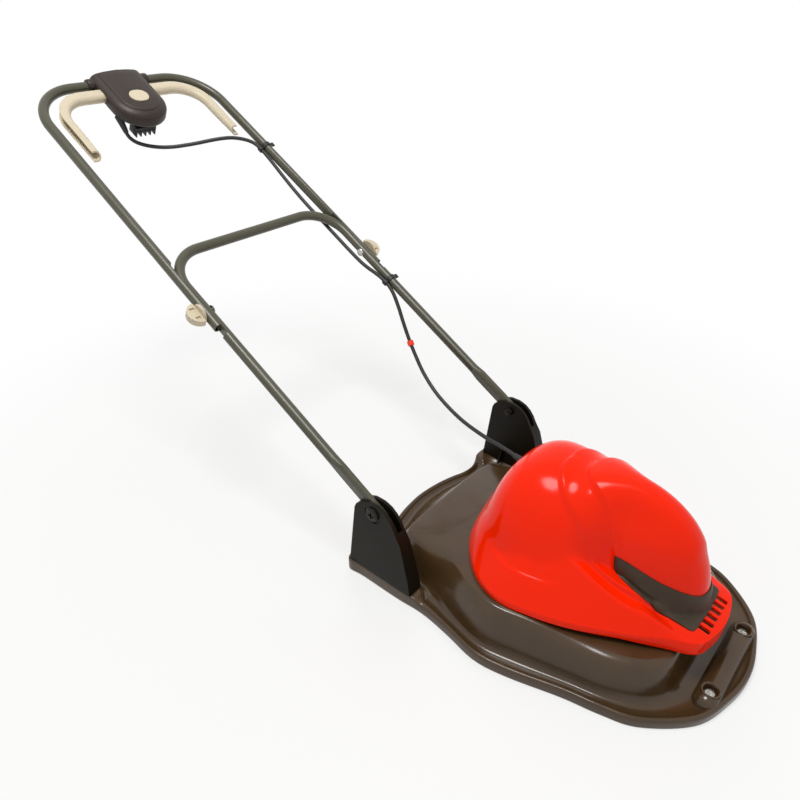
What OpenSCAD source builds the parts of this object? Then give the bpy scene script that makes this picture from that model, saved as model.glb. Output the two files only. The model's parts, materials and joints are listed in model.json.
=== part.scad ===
// Electric hover mower: a moulded hood with a blade and an impeller under it, a motor under a
// domed cover, and a two-part folding handle with a switch box, levers and a clipped cord.
// The blade axis is Z, the ground is z = 0, the front points along -Y, the left side is +X.

/* [Deck] */
// Half width of the hood at the blade axis
deck_half_w = 197; // [194:1:206]
// Distance from the blade axis to the front of the rim
deck_front = 284; // [278:1:296]
// Distance from the blade axis to the rear of the rim
deck_rear = 252; // [248:1:258]
// Height of the rolled rim
rim_h = 20; // [18:0.5:23]
// Wall of the hood moulding
deck_wall = 3; // [2.5:0.25:3.5]
// Height of the flat seat under the motor cover
seat_z = 66; // [63:1:70]
// Radius of the air inlet through the hood
inlet_r = 72; // [66:1:75]
// Distance from the blade axis to the foot of the hump's front face
hump_front = 219; // [214:1:222]
// Height of the hump's front shoulder
hump_front_z = 52; // [46:1:56]
// Height of the ridge of the rear panel
ridge_z = 48; // [42:1:54]
// Distance from the blade axis to the ridge of the rear panel
ridge_y = 192; // [184:1:198]

/* [Front bump] */
// Distance from the blade axis to the middle of the front bump
bump_y = 254; // [250:1:256]
// Radius of the front bump
bump_r = 16; // [13:0.5:17]
// Half length of the front bump
bump_half = 74; // [60:1:80]
// Distance of each screw well from the middle
well_x = 59; // [40:1:62]
// Radius of a screw well
well_r = 9; // [7:0.5:10]

/* [Motor cover] */
// Half width of the cover
cover_half_w = 147; // [144:1:150]
// Distance from the blade axis to the nose of the cover
cover_nose = 238; // [232:1:242]
// Distance from the blade axis to the tail of the cover
cover_tail = 112; // [106:1:116]
// Height of the top of the rear dome
cover_top = 216; // [208:1:226]
// Wall of the cover
cover_wall = 3; // [2.5:0.25:4]
// Height of the front dome over the top of the rear one
dome_rise = 12; // [9:1:16]
// Number of cooling slots in the nose
slot_count = 6; // [3:1:7]
// Distance of a cover boss from the blade axis
boss_pcd_r = 112; // [106:1:114]

/* [Handle] */
// Distance between the lower legs, centre to centre
leg_gap = 336; // [330:1:342]
// Outside diameter of the handle tubes
tube_d = 16; // [15:0.5:17]
// Wall of the handle tubes
tube_wall = 1.2; // [1:0.1:1.6]
// Distance from the blade axis to the handle pivot
pivot_y = 188; // [184:1:192]
// Height of the handle pivot
pivot_z = 127; // [122:1:132]
// Angle of the handle above the ground where it rests on its stop
handle_rest = 30.5; // [28:0.5:34]
// Distance from the pivot to the crossbar
crossbar_u = 502; // [494:1:512]
// Bend radius of the lower handle
lower_bend_r = 62; // [56:1:66]
// Distance from the pivot to the handle bolts
knob_u = 390; // [380:1:400]
// Distance from the handle bolts down to the ends of the upper handle
upper_tail = 34; // [28:1:40]
// Distance from the pivot to the top bar of the upper handle
loop_u = 891; // [880:1:905]
// Bend radius of the upper handle
upper_bend_r = 83; // [78:1:88]
// Outboard shift of the upper legs
upper_shift = 3; // [2:0.5:5]
// Angle at which each upper leg leans inwards
upper_lean = 0.5; // [0:0.1:0.8]
// Thickness of the flattened ends of the lower legs
flat_t = 7; // [6:0.5:8]
// Width of the flattened ends of the lower legs
flat_w = 20; // [18:0.5:22]

/* [Brackets] */
// Wall of the handle brackets
bracket_wall = 5; // [4:0.5:6]
// Play of the flattened leg on each side in its slot
slot_play = 1; // [0.5:0.25:1.5]
// Height of the bracket walls over the pivot
bracket_rise = 17; // [14:0.5:20]
// Outward flare of the outer bracket wall at its foot
bracket_flare = 6.5; // [5:0.5:8]
// Radius of the pivot bolts
pivot_bolt_r = 4; // [3.5:0.25:4.5]
// Radius of the heads of the pivot bolts
pivot_head_r = 11; // [9:0.5:13]

/* [Knobs] */
// Radius of the handle bolts
knob_bolt_r = 3; // [2.5:0.25:3.5]
// Radius of the wing of a knob
wing_r = 18; // [15:0.5:19]
// Thickness of the wing of a knob
wing_t = 11; // [9:0.5:13]

/* [Switch box] */
// Half width of the switch box
box_half_w = 48; // [46:1:51]
// Height of the upper case over the handle plane
box_top = 20; // [19:0.5:22]
// Depth of the lower case under the handle plane
box_deep = 16; // [15:0.5:18]
// Wall of the switch box
box_wall = 2.5; // [2:0.25:3]
// Radius of the button's round ends
button_r = 14; // [12:0.5:16]
// Travel of the lock-off button
button_travel = 4; // [2:0.5:5]
// Distance of the levers from the tube, centre to centre
lever_off = 32; // [30:0.5:34]
// Length of the straight grip of a lever
lever_grip = 78; // [60:1:90]
// Depth of a lever's channel
lever_d = 16; // [14:0.5:17]
// Height of a lever's channel
lever_h = 16; // [14:0.5:16.5]

/* [Motor and blade] */
// Radius of the motor shaft
shaft_r = 5; // [4.5:0.25:5.5]
// Radius of the stator
stator_r = 46; // [43:1:50]
// Radius of the armature
armature_r = 26.5; // [24:0.5:27]
// Height of the stator
stator_h = 48; // [40:1:52]
// Radius of the impeller
impeller_r = 105; // [95:1:106]
// Number of impeller vanes
vane_count = 8; // [6:1:12]
// Diameter of the cutting circle
cut_d = 300; // [280:2:310]
// Width of the blade
blade_w = 42; // [36:1:46]
// Thickness of the blade
blade_t = 3; // [2:0.25:4]
// Height of the blade over the ground
blade_z = 27; // [25:0.5:29]

/* [Cord] */
// Diameter of the cord
cord_d = 6.6; // [6:0.2:7.2]

/* [Hidden] */
$fn = 48;

// Clearances: a running fit on a shaft, a loose fit between moulded pieces
run_fit = 0.05;
loose_fit = 0.3;

// Handle places
leg_x = leg_gap / 2;
tube_r = tube_d / 2;
upper_x = leg_x + upper_shift;
lap_x = leg_x + upper_shift / 2;
upper_top_x = upper_x - (loop_u - upper_bend_r - knob_u) * sin(upper_lean);
upper_end_u = knob_u - upper_tail;
flat_end = flat_w / 2 + 9.5;
flat_from_u = 80;
round_from_u = 95;
lap_below = 50;
lap_above = 90;
lap_ramp = 22;

// Bracket places, measured outwards from the middle of the mower
slot_half = flat_t / 2 + slot_play;
bracket_out = leg_x + slot_half + bracket_wall;
bracket_in = leg_x - slot_half - bracket_wall + 0.5;
bracket_foot = bracket_out + bracket_flare;
bracket_front = pivot_y - 71;
bracket_back = pivot_y + 46;

// Switch box places along the handle
box_end_u = loop_u + 9;
box_mid_u = loop_u - 62;
lever_u = loop_u - lever_off;
lever_pin_x = 34;
bend_x = upper_top_x - upper_bend_r;
bend_u = loop_u - upper_bend_r;
lever_bend_r = upper_bend_r - lever_off;
button_u = box_mid_u - 1;
button_half = 3;

// Motor stack heights
mount_t = 4;
stator_z = seat_z + 26;
stator_top = stator_z + stator_h;
bearing_h = 8;
bearing_r = 11;
hub_r = 17;
upper_bearing_z = stator_top + 24;
shaft_top = upper_bearing_z + bearing_h + 2;
spacer_t = 4;
impeller_z = blade_z + blade_t + 2 * spacer_t;
impeller_top = seat_z - deck_wall - 5;
post_r = 40;

// Vector helpers
function flat_unit(v) = [v.x, v.y] / norm([v.x, v.y]);
function at_z(p, z) = [p.x, p.y, z];
function mix(a, b, t) = a * (1 - t) + b * t;
function mix_rings(a, b, t) = [for (i = [0:len(a) - 1]) mix(a[i], b[i], t)];
function mirror_loop(half) =
    concat(half, [for (i = [len(half) - 2:-1:1]) [-half[i].x, half[i].y, half[i].z]]);
function spline(a, b, c, d, t) =
    (2 * b + (c - a) * t + (2 * a - 5 * b + 4 * c - d) * t * t
     + (3 * b - a - 3 * c + d) * t * t * t) / 2;
function smooth_loop(loop, steps) = let (n = len(loop))
    [for (i = [0:n - 1]) for (k = [0:steps - 1])
        spline(loop[(i + n - 1) % n], loop[i], loop[(i + 1) % n], loop[(i + 2) % n], k / steps)];
function inward(loop, i) = let (n = len(loop), t = flat_unit(loop[(i + 1) % n] - loop[(i + n - 1) % n]))
    [-t.y, t.x];
function inset(loop, d) = [for (i = [0:len(loop) - 1])
    let (m = inward(loop, i)) [loop[i].x + m.x * d, loop[i].y + m.y * d, loop[i].z]];
function lift(loop, dz) = [for (p = loop) [p.x, p.y, p.z + dz]];
function on_circle(loop, r, z) = [for (p = loop) let (u = flat_unit(p)) [u.x * r, u.y * r, z]];

// Skin over a list of rings of equal length, joined end to start when it is a closed band,
// and closed by a fan at each end when it isn't
module skin(rings, band = false) {
    n = len(rings[0]);
    m = len(rings);
    last = band ? m - 1 : m - 2;
    sides = [for (j = [0:last]) for (i = [0:n - 1])
        let (a = j * n + i, b = j * n + (i + 1) % n, k = (j + 1) % m,
             c = k * n + (i + 1) % n, d = k * n + i) each [[a, c, b], [a, d, c]]];
    ends = band ? [] : [for (i = [0:n - 1]) each
        [[n * m, i, (i + 1) % n], [n * m + 1, (m - 1) * n + (i + 1) % n, (m - 1) * n + i]]];
    middles = band ? [] : [for (r = [rings[0], rings[m - 1]]) [for (p = r) 1] * r / n];
    polyhedron([for (r = rings) each r, each middles], concat(sides, ends));
}

// Tube swept along a route, turned from ring to ring as little as the route allows
function unit(v) = v / norm(v);
function route_dir(p, i) = unit(p[min(i + 1, len(p) - 1)] - p[max(i - 1, 0)]);
function carry(side, dir) = unit(side - dir * (side * dir));
function route_sides(p, i = 0, side = [0.31, 0.27, 0.91]) = i == len(p) ? [] :
    let (s = carry(side, route_dir(p, i))) concat([s], route_sides(p, i + 1, s));
module swept_tube(p, r, sides) {
    s = route_sides(p);
    skin([for (i = [0:len(p) - 1]) let (d = route_dir(p, i), a = s[i], b = cross(d, a))
        [for (k = [0:sides - 1]) p[i] + r * (a * cos(360 * k / sides) + b * sin(360 * k / sides))]]);
}

// Places on the handle: x across, y up the handle from the pivot, z out of its plane
module on_handle() {
    translate([0, pivot_y, pivot_z]) rotate([handle_rest, 0, 0]) children();
}
module both_sides() {
    children();
    mirror([1, 0, 0]) children();
}
// Extrude a side view, drawn in Y and Z, along X
module along_x(x, t) {
    translate([x, 0, 0]) rotate([90, 0, 90]) linear_extrude(t) children();
}
module rod_x(x0, x1, r) {
    translate([x0, 0, 0]) rotate([0, 90, 0]) cylinder(r = r, h = x1 - x0);
}
module hexagon_x(x0, x1, r) {
    translate([x0, 0, 0]) rotate([0, 90, 0]) cylinder(r = r, h = x1 - x0, $fn = 6);
}
module ring_z(r_out, r_in, z, h) {
    translate([0, 0, z]) rotate_extrude() translate([r_in, 0]) square([r_out - r_in, h]);
}

// Deck curves, from the front apex round the left side to the rear apex
rim_half = [[0, -deck_front, 0], [46, 6.5 - deck_front, 0], [100, 27 - deck_front, 0],
    [146, 78 - deck_front, 0], [161, 121 - deck_front, 0], [171, 168 - deck_front, 0],
    [deck_half_w - 7, -50, 0], [deck_half_w, -3, 0], [deck_half_w - 9, 48, 0],
    [bracket_foot - 2, 95, 0], [bracket_foot, 140, 0], [bracket_foot, pivot_y + 17, 0],
    [bracket_foot, pivot_y + 48, 0], [bracket_in - 9, pivot_y + 52, 0],
    [122, pivot_y + 43, 0], [98, deck_rear - 20, 0], [75, deck_rear - 12, 0],
    [42, deck_rear - 4, 0], [0, deck_rear, 0]];
bead_half = [[0, 16 - deck_front, 0], [42, 22 - deck_front, 0], [90, 41.5 - deck_front, 0],
    [132, 86 - deck_front, 0], [146, 126 - deck_front, 0], [156, 171 - deck_front, 0],
    [deck_half_w - 22, -48, 0], [deck_half_w - 15.5, -2, 0], [deck_half_w - 24, 46, 0],
    [bracket_in + 1, 98, 0], [bracket_in - 2, 140, 0], [bracket_in - 2, pivot_y + 2, 0],
    [bracket_in - 6, pivot_y + 20, 0], [bracket_in - 19, pivot_y + 29, 0],
    [118, pivot_y + 29, 0], [94, deck_rear - 34, 0], [70, deck_rear - 28, 0],
    [39, deck_rear - 20, 0], [0, deck_rear - 15.5, 0]];
foot_half = [[0, -hump_front, 10], [50, -hump_front, 10], [90, 4 - hump_front, 10],
    [119, 25 - hump_front, 10], [138, 61 - hump_front, 10], [149, 107 - hump_front, 10],
    [deck_half_w - 32, -48, 11], [deck_half_w - 23, 0, 11], [deck_half_w - 31, 46, 11],
    [bracket_in - 9, 95, 12], [bracket_in - 19, 140, 13], [bracket_in - 29, ridge_y - 12, 14],
    [bracket_in - 35, ridge_y + 6, 14], [114, ridge_y + 15, 14], [97, ridge_y + 16, 14],
    [80, ridge_y + 20, 14], [58, ridge_y + 25, 14], [30, ridge_y + 31, 14], [0, ridge_y + 33, 14]];
shoulder_half = [[0, 14 - hump_front, hump_front_z], [46, 14 - hump_front, hump_front_z],
    [80, 16 - hump_front, hump_front_z], [103, 33 - hump_front, hump_front_z + 2],
    [121, 67 - hump_front, hump_front_z + 3], [132, 109 - hump_front, hump_front_z + 2],
    [cover_half_w + 2, -47, seat_z - 8], [cover_half_w + 12, 0, seat_z - 5],
    [cover_half_w + 5, 43, seat_z - 6], [cover_half_w - 13, 86, seat_z - 8],
    [124, 130, ridge_z + 5], [115, 165, ridge_z + 2], [109, ridge_y - 12, ridge_z + 1],
    [103, ridge_y - 5, ridge_z], [90, ridge_y - 2, ridge_z], [72, ridge_y - 1, ridge_z],
    [52, ridge_y, ridge_z], [26, ridge_y, ridge_z], [0, ridge_y, ridge_z]];
seat_half = [[0, 23 - hump_front, hump_front_z + 2], [44, 23 - hump_front, hump_front_z + 2],
    [74, 27 - hump_front, hump_front_z + 2], [94, 43 - hump_front, hump_front_z + 3],
    [110, 73 - hump_front, hump_front_z + 4], [124, 113 - hump_front, hump_front_z + 5],
    [cover_half_w - 5, -46, seat_z - 2], [cover_half_w + 5, 0, seat_z],
    [cover_half_w - 2, 42, seat_z], [cover_half_w - 20, 76, seat_z],
    [110, 97, seat_z - 1], [98, cover_tail - 4, seat_z - 2], [86, cover_tail + 2, seat_z - 2.5],
    [73, cover_tail + 6, seat_z - 3], [60, cover_tail + 8, seat_z - 3],
    [46, cover_tail + 9, seat_z - 3], [32, cover_tail + 9.5, seat_z - 3],
    [16, cover_tail + 10, seat_z - 3], [0, cover_tail + 10, seat_z - 3]];
deck_steps = 3;
rim_loop = smooth_loop(mirror_loop(rim_half), deck_steps);
bead_loop = smooth_loop(mirror_loop(bead_half), deck_steps);
foot_loop = smooth_loop(mirror_loop(foot_half), deck_steps);
shoulder_loop = smooth_loop(mirror_loop(shoulder_half), deck_steps);
seat_loop = smooth_loop(mirror_loop(seat_half), deck_steps);
seat_flat_r = 120;

// The rim rolls over in a bead, and turns into a flat ledge under each bracket.
// Each ring lies a share of the way from the rim to the bead's inner edge.
function under_bracket(p) = p.y > bracket_front - 9 && abs(p.x) > bracket_in - 16;
function rim_ring(bead_share, bead_z, ledge_share, ledge_z) = [for (i = [0:len(rim_loop) - 1])
    let (p = rim_loop[i], ledge = under_bracket(p))
    at_z(mix(p, bead_loop[i], ledge ? ledge_share : bead_share), ledge ? ledge_z : bead_z)];
function rim_inset(d, bead_z, ledge_z) = [for (i = [0:len(rim_loop) - 1])
    let (p = rim_loop[i], m = inward(rim_loop, i))
    [p.x + m.x * d, p.y + m.y * d, under_bracket(p) ? ledge_z : bead_z]];
rim_rings = [
    rim_ring(0, 0, 0, 0),
    rim_ring(0, rim_h - 11, 0, rim_h - 8),
    rim_ring(0.05, rim_h - 6, 0, rim_h - 1.5),
    rim_ring(0.22, rim_h - 1.5, 0.02, rim_h - 0.2),
    rim_ring(0.45, rim_h, 0.1, rim_h),
    rim_ring(0.68, rim_h - 1.5, 0.5, rim_h),
    rim_ring(0.85, rim_h - 6, 0.93, rim_h),
    rim_ring(1, rim_h - 9.5, 1, rim_h - 6)];
rim_under = [
    rim_ring(0.86, rim_h - 12.5, 0.92, rim_h - 9),
    rim_ring(0.68, rim_h - 7, 0.85, rim_h - deck_wall),
    rim_ring(0.48, rim_h - deck_wall, 0.5, rim_h - deck_wall),
    rim_ring(0.3, rim_h - 4.5, 0.18, rim_h - deck_wall - 0.5),
    rim_inset(deck_wall, rim_h - 9, rim_h - 7),
    rim_inset(deck_wall, 0, 0)];
gutter_ring = lift(mix_rings(rim_rings[7], foot_loop, 0.55), -2.5);
function wall_ring(t, rise) = [for (i = [0:len(foot_loop) - 1])
    let (a = foot_loop[i], b = shoulder_loop[i], p = mix(a, b, t)) at_z(p, mix(a.z, b.z, rise))];
hump_rings = [gutter_ring, foot_loop, wall_ring(0.28, 0.4), wall_ring(0.58, 0.76),
    wall_ring(0.82, 0.94), shoulder_loop, lift(mix_rings(shoulder_loop, seat_loop, 0.5), 0.8),
    seat_loop, on_circle(seat_loop, seat_flat_r, seat_z), on_circle(seat_loop, inlet_r, seat_z)];
hump_under = [for (j = [len(hump_rings) - 1:-1:0]) let (r = hump_rings[j])
    lift(j > 7 ? r : inset(r, deck_wall), -deck_wall)];

module deck() {
    color("#332b22") difference() {
        union() {
            skin(concat(rim_rings, hump_rings, hump_under, rim_under), band = true);
            front_bump();
        }
        for (s = [-1, 1]) translate([s * well_x, -bump_y, 0]) {
            translate([0, 0, well_floor]) cylinder(r = well_r, h = bump_r * 2);
            cylinder(r = well_screw_r + loose_fit, h = bump_r * 2);
        }
        cover_boss_places() cylinder(r = cover_screw_r + loose_fit, h = 2 * seat_z);
        mount_screw_places() cylinder(r = mount_screw_r + loose_fit, h = 2 * seat_z);
    }
}
bump_z = 6;
well_floor = 13;
well_screw_r = 2.5;
module front_bump() {
    translate([0, -bump_y, bump_z]) intersection() {
        union() {
            rod_x(-bump_half, bump_half, bump_r);
            for (s = [-1, 1]) translate([s * bump_half, 0, 0]) sphere(r = bump_r);
        }
        translate([-deck_half_w, -bump_r, 0]) cube([2 * deck_half_w, 2 * bump_r, bump_r]);
    }
}
module front_screws() {
    color("silver") for (s = [-1, 1]) translate([s * well_x, -bump_y, 0]) difference() {
        union() {
            translate([0, 0, well_floor]) cylinder(r = well_r - 3, h = 3);
            translate([0, 0, 4]) cylinder(r = well_screw_r, h = well_floor - 4);
        }
        cross_recess(well_floor + 3, 6, 1.6);
    }
}
module cross_recess(z, span, deep) {
    for (a = [0, 90]) rotate([0, 0, a])
        translate([-span / 2, -span / 8, z - deep]) cube([span, span / 4, 2 * deep]);
}

// Handle brackets: two walls round a slot, joined by a front web, a rear stop and a base.
// The outer wall flares to the edge of the rim, with a round seat for the bolt's head.
module bracket_side(back) {
    top = bracket_rise;
    translate([pivot_y, pivot_z]) polygon([[-71, rim_h - pivot_z], [-67, -85], [-60, -61], [-51, -29],
        [-41, -13], [-36, -3], [-29, top - 11], [-20, top - 4], [-8, top], [8, top], [22, top - 6],
        [31, top - 14], [34, top - 21], [back - pivot_y, rim_h - pivot_z]]);
}
stop_gap = 0.3;
module bracket(s) {
    lean = atan2(bracket_flare, pivot_z + bracket_rise - rim_h);
    inner_t = leg_x - slot_half - bracket_in;
    mirror([s < 0 ? 1 : 0, 0, 0]) difference() {
        union() {
            difference() {
                along_x(leg_x + slot_half, bracket_wall + bracket_flare) bracket_side(bracket_back - 2);
                translate([bracket_foot, 0, rim_h]) rotate([0, -lean, 0])
                    translate([0, 0, -50]) cube([50, 2 * deck_rear, 300]);
            }
            translate([0, pivot_y, pivot_z]) rod_x(leg_x + slot_half, bracket_out, pivot_head_r + 3);
            along_x(bracket_in, inner_t) bracket_side(bracket_back);
            along_x(bracket_in, bracket_out - bracket_in) intersection() {
                bracket_side(bracket_back - 2);
                union() {
                    translate([0, rim_h]) square([deck_rear, 5]);
                    difference() {
                        translate([0, rim_h]) square([pivot_y, pivot_z - rim_h - 16]);
                        translate([4, 0]) bracket_side(bracket_back);
                    }
                    rear_stop();
                }
            }
            for (y = [bracket_front + 38, bracket_front + 78]) translate([0, y, 0])
                rotate([90, 0, 0]) linear_extrude(2.5)
                polygon([[bracket_in, rim_h], [bracket_in - 2, rim_h], [bracket_in - 14, rim_h + 2],
                    [bracket_in, rim_h + 36]]);
        }
        translate([0, pivot_y, pivot_z]) rod_x(0, bracket_foot, pivot_bolt_r + run_fit);
        translate([0, pivot_y, pivot_z]) rod_x(bracket_out, bracket_foot + 5, pivot_head_r + 3);
    }
}
// The underside of the leg lands on this wall when the handle is down
module rear_stop() {
    difference() {
        translate([pivot_y + 20, rim_h]) square([60, pivot_z - rim_h + 40]);
        translate([pivot_y, pivot_z]) rotate(handle_rest)
            translate([-80, -flat_w / 2 - stop_gap]) square([300, 120]);
    }
}
module bracket_left() { color("#2d2d26") bracket(1); }
module bracket_right() { color("#2d2d26") bracket(-1); }

pivot_head_t = 5;
nut_t = 6;
module pivot_bolts() {
    color("#34342c") both_sides() translate([0, pivot_y, pivot_z]) difference() {
        union() {
            rod_x(bracket_in - nut_t - 2, bracket_out, pivot_bolt_r);
            translate([bracket_out, 0, 0]) rotate([0, 90, 0]) rotate_extrude()
                polygon([[0, 0], [pivot_head_r, 0], [pivot_head_r, 2.5],
                    [pivot_head_r - 2, pivot_head_t - 0.6], [0, pivot_head_t]]);
        }
        translate([bracket_out, 0, 0]) rotate([0, 90, 0]) cross_recess(pivot_head_t, 11, 2.6);
    }
}
module pivot_nuts() {
    color("dimgray") both_sides() translate([0, pivot_y, pivot_z]) difference() {
        hexagon_x(bracket_in - nut_t, bracket_in, pivot_bolt_r * 1.8);
        rod_x(0, bracket_out, pivot_bolt_r + run_fit);
    }
}

// Motor cover: a skirt with a sloping shoulder, a rear dome, and a front dome with a raised crown
cover_half = [[0, -cover_nose, 0], [30, 4 - cover_nose, 0], [53, 14 - cover_nose, 0],
    [69, 44 - cover_nose, 0], [94, 84 - cover_nose, 0], [cover_half_w - 22, -92, 0],
    [cover_half_w - 6, -42, 0], [cover_half_w, 0, 0], [cover_half_w - 14, 42, 0],
    [cover_half_w - 46, cover_tail - 34, 0], [62, cover_tail - 12, 0], [0, cover_tail, 0]];
cover_loop = smooth_loop(mirror_loop(cover_half), 4);
cover_mid = [0, -8];
cover_z = seat_z + loose_fit;
lip_h = 10;
shoulder_share = 0.82;
// Share of the way from the middle to the edge, for each ring of the shell
cover_shares = [1, 0.985, 0.955, 0.915, 0.87, 0.82, 0.78, 0.74, 0.7, 0.66, 0.62, 0.58, 0.54, 0.49, 0.42, 0.33,
    0.22, 0.1];
function limit(v) = max(0, min(1, v));
function step_up(a, b, v) = let (t = limit((v - a) / (b - a))) t * t * (3 - 2 * t);
function soft_max(a, b, k) = let (h = limit(0.5 + 0.5 * (a - b) / k)) b + (a - b) * h + k * h * (1 - h);
function egg(x, y, mid, half_w, back, front, p) = pow(abs(x) / half_w, p)
    + pow(abs(y - mid) / (y > mid ? back : front), p);
function dome(e, low, top) = low + (top - low) * sqrt(max(0, 1 - e)) - 40 * max(0, e - 1);
// The shoulder falls from the tail to the nose
function shoulder_z(y) = seat_z + 18 + 48 * limit((y + 70) / 160);
function skirt_height(k, y) = let (t = min(1, (1 - k) / (1 - shoulder_share)))
    cover_z + lip_h + (shoulder_z(y) - cover_z - lip_h) * pow(t, 0.8)
        + 100 * min(0.2, max(0, shoulder_share - k));
function collar(x, y) = step_up(1.05, 0.95, pow(egg(x, y, -80, 62, 78, 110, 2.6), 1 / 2.6));
function crown(x, y) = step_up(1.06, 0.94, pow(egg(x, y, -115, 46, 82, 92, 2.4), 1 / 2.4));
collar_rise = 3;
crown_rise = 6;
front_top = cover_top + dome_rise - crown_rise - collar_rise;
function cover_height(x, y, k, edge_y) = let (
    rear = dome(egg(x, y, 12, cover_half_w - 36, cover_tail - 29, 114, 2.3), seat_z + 4, cover_top - 1),
    front_w = 50 + 42 * step_up(-110, -40, y),
    front = dome(egg(x, y, -75, front_w, 119, cover_nose - 111, 2.5), seat_z + 10, front_top))
    soft_max(soft_max(skirt_height(k, edge_y), rear, 7), front, 10)
        + (collar_rise * collar(x, y) + crown_rise * crown(x, y)) * limit((1 - k) * 6);
function cover_xy(loop, i, k) = [mix(cover_mid.x, loop[i].x, k), mix(cover_mid.y, loop[i].y, k)];
function cover_point(i, k, wall) = let (q = cover_xy(cover_loop, i, k),
    w = wall == 0 ? q : cover_xy(cover_inset, i, k))
    [w.x, w.y, (k == 1 ? cover_z + lip_h : cover_height(q.x, q.y, k, cover_loop[i].y)) - wall];
cover_inset = inset(cover_loop, cover_wall);
function cover_ring(k, wall) = [for (i = [0:len(cover_loop) - 1]) cover_point(i, k, wall)];
cover_outer = concat([lift(cover_loop, cover_z)], [for (k = cover_shares) cover_ring(k, 0)]);
cover_inner = concat([for (j = [len(cover_shares) - 1:-1:0]) cover_ring(cover_shares[j], cover_wall)],
    [lift(cover_inset, cover_z)]);
cover_screw_r = 2;
boss_angles = [35, 145, 215, 325];
boss_h = 34;
module cover_boss_places() {
    for (a = boss_angles) rotate([0, 0, a]) translate([boss_pcd_r, 0, 0]) children();
}
module motor_cover() {
    color("#ff3209") difference() {
        union() {
            skin(concat(cover_inner, cover_outer));
            intersection() {
                skin(cover_outer);
                cover_boss_places() translate([0, 0, seat_z]) difference() {
                    union() {
                        cylinder(r = 6, h = boss_h);
                        translate([0, -1.5, 2]) cube([60, 3, boss_h - 2]);
                    }
                    translate([0, 0, -1]) cylinder(r = cover_screw_r + run_fit, h = boss_h - 8);
                }
            }
        }
        nose_slots();
        gland_place() cylinder(r = gland_r + loose_fit, h = 30, center = true);
    }
}
slot_w = 5;
slot_pitch = 12;
module nose_slots() {
    for (i = [0:slot_count - 1]) translate([(i - (slot_count - 1) / 2) * slot_pitch, 0, 0])
        translate([-slot_w / 2, 6 - cover_nose, cover_z + 4]) cube([slot_w, 12, 40]);
}
// The trim band wraps the nose, between a lower and an upper edge on the shell
trim_t = 2;
trim_off = 1.8;
trim_span = 14;
trim_low = [[0, 0.89], [3.5, 0.905], [7, 0.93], [8.4, 0.831], [9.8, 0.794], [10.4, 0.783], [11, 0.73],
    [12.4, 0.657], [14, 0.6]];
trim_high = [[0, 0.845], [1, 0.838], [4.9, 0.787], [8.25, 0.711], [11.3, 0.655], [12.6, 0.619], [14, 0.571]];
function cover_at(i, k) = let (n = len(cover_loop), a = floor(i)) i == a ? cover_point((a + n) % n, k, 0)
    : mix(cover_point((a + n) % n, k, 0), cover_point((a + 1 + n) % n, k, 0), i - a);
function cover_normal(i, k) = unit(cross(cover_at(i + 1, k) - cover_at(i - 1, k),
    cover_at(i, k - 0.03) - cover_at(i, k + 0.03)));
function share_before(k) = max([for (t = [0:len(cover_shares) - 2]) if (cover_shares[t] >= k) t]);
// Point on the shell's facets, between two rings
function cover_chord(i, k) = let (j = share_before(k), a = cover_shares[j], b = cover_shares[j + 1])
    mix(cover_at(i, a), cover_at(i, b), (a - k) / (a - b));
module cover_trim() {
    m = 12;
    function row(i, off) = [for (j = [0:m - 1])
        let (k = mix(lookup(abs(i), trim_low), lookup(abs(i), trim_high), j / (m - 1)))
        cover_chord(i, k) + cover_normal(i, k) * off];
    color("#48403a") skin([for (i = [-trim_span:0.5:trim_span])
        let (off = trim_off + 1.6 * max(0, 1 - abs(abs(i) - 4.5) / 3),
            outer = row(i, off + trim_t), inner = row(i, off))
        concat(outer, [for (j = [m - 1:-1:0]) inner[j]])]);
}
module cover_screws() {
    color("silver") cover_boss_places() {
        translate([0, 0, seat_z - deck_wall - 3]) cylinder(r = 4.5, h = 3);
        translate([0, 0, seat_z - deck_wall - 3]) cylinder(r = cover_screw_r, h = 22);
    }
}
// Cord gland: a grommet in the cover's rear wall with a tapered strain relief behind it
gland_at = [60.05, 84.05, 121];
gland_turn = -13;
gland_r = 8;
gland_len = 36;
module gland_place() {
    translate(gland_at) rotate([0, 0, gland_turn]) rotate([-90, 0, 0]) children();
}
module cord_gland() {
    color("#1c1c1c") gland_place() rotate_extrude() polygon([[0, -6], [gland_r, -6], [gland_r, 5],
        [gland_r + 3, 5], [gland_r + 3, 8], [gland_r - 1, 9], [cord_d / 2 + 0.8, gland_len],
        [0, gland_len]]);
}

// Motor
mount_screw_r = 2;
mount_ring_r = 90;
module mount_screw_places() {
    for (a = [0:90:270]) rotate([0, 0, a]) translate([mount_ring_r - 9, 0, 0]) children();
}
module motor_mount() {
    color("darkgray") difference() {
        union() {
            ring_z(mount_ring_r, inlet_r - 5, seat_z, mount_t);
            for (a = [0:90:270]) rotate([0, 0, a])
                translate([hub_r - 2, -6, seat_z]) cube([inlet_r - hub_r, 12, mount_t]);
            translate([0, 0, seat_z]) cylinder(r = hub_r, h = mount_t + bearing_h);
            for (s = [-1, 1]) translate([0, s * post_r, seat_z]) cylinder(r = 5, h = stator_z - seat_z);
        }
        translate([0, 0, seat_z + mount_t]) cylinder(r = bearing_r + run_fit, h = bearing_h + 1);
        translate([0, 0, seat_z - 1]) cylinder(r = shaft_r + 1, h = mount_t + 2);
        mount_screw_places() cylinder(r = mount_screw_r + loose_fit, h = 2 * seat_z);
    }
}
module mount_screws() {
    color("silver") mount_screw_places() {
        translate([0, 0, seat_z + mount_t]) cylinder(r = 4.5, h = 3);
        translate([0, 0, seat_z - deck_wall - 1]) cylinder(r = mount_screw_r, h = deck_wall + mount_t + 2);
    }
}
module bearing(z) { color("silver") ring_z(bearing_r, shaft_r + run_fit, z, bearing_h); }
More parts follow.
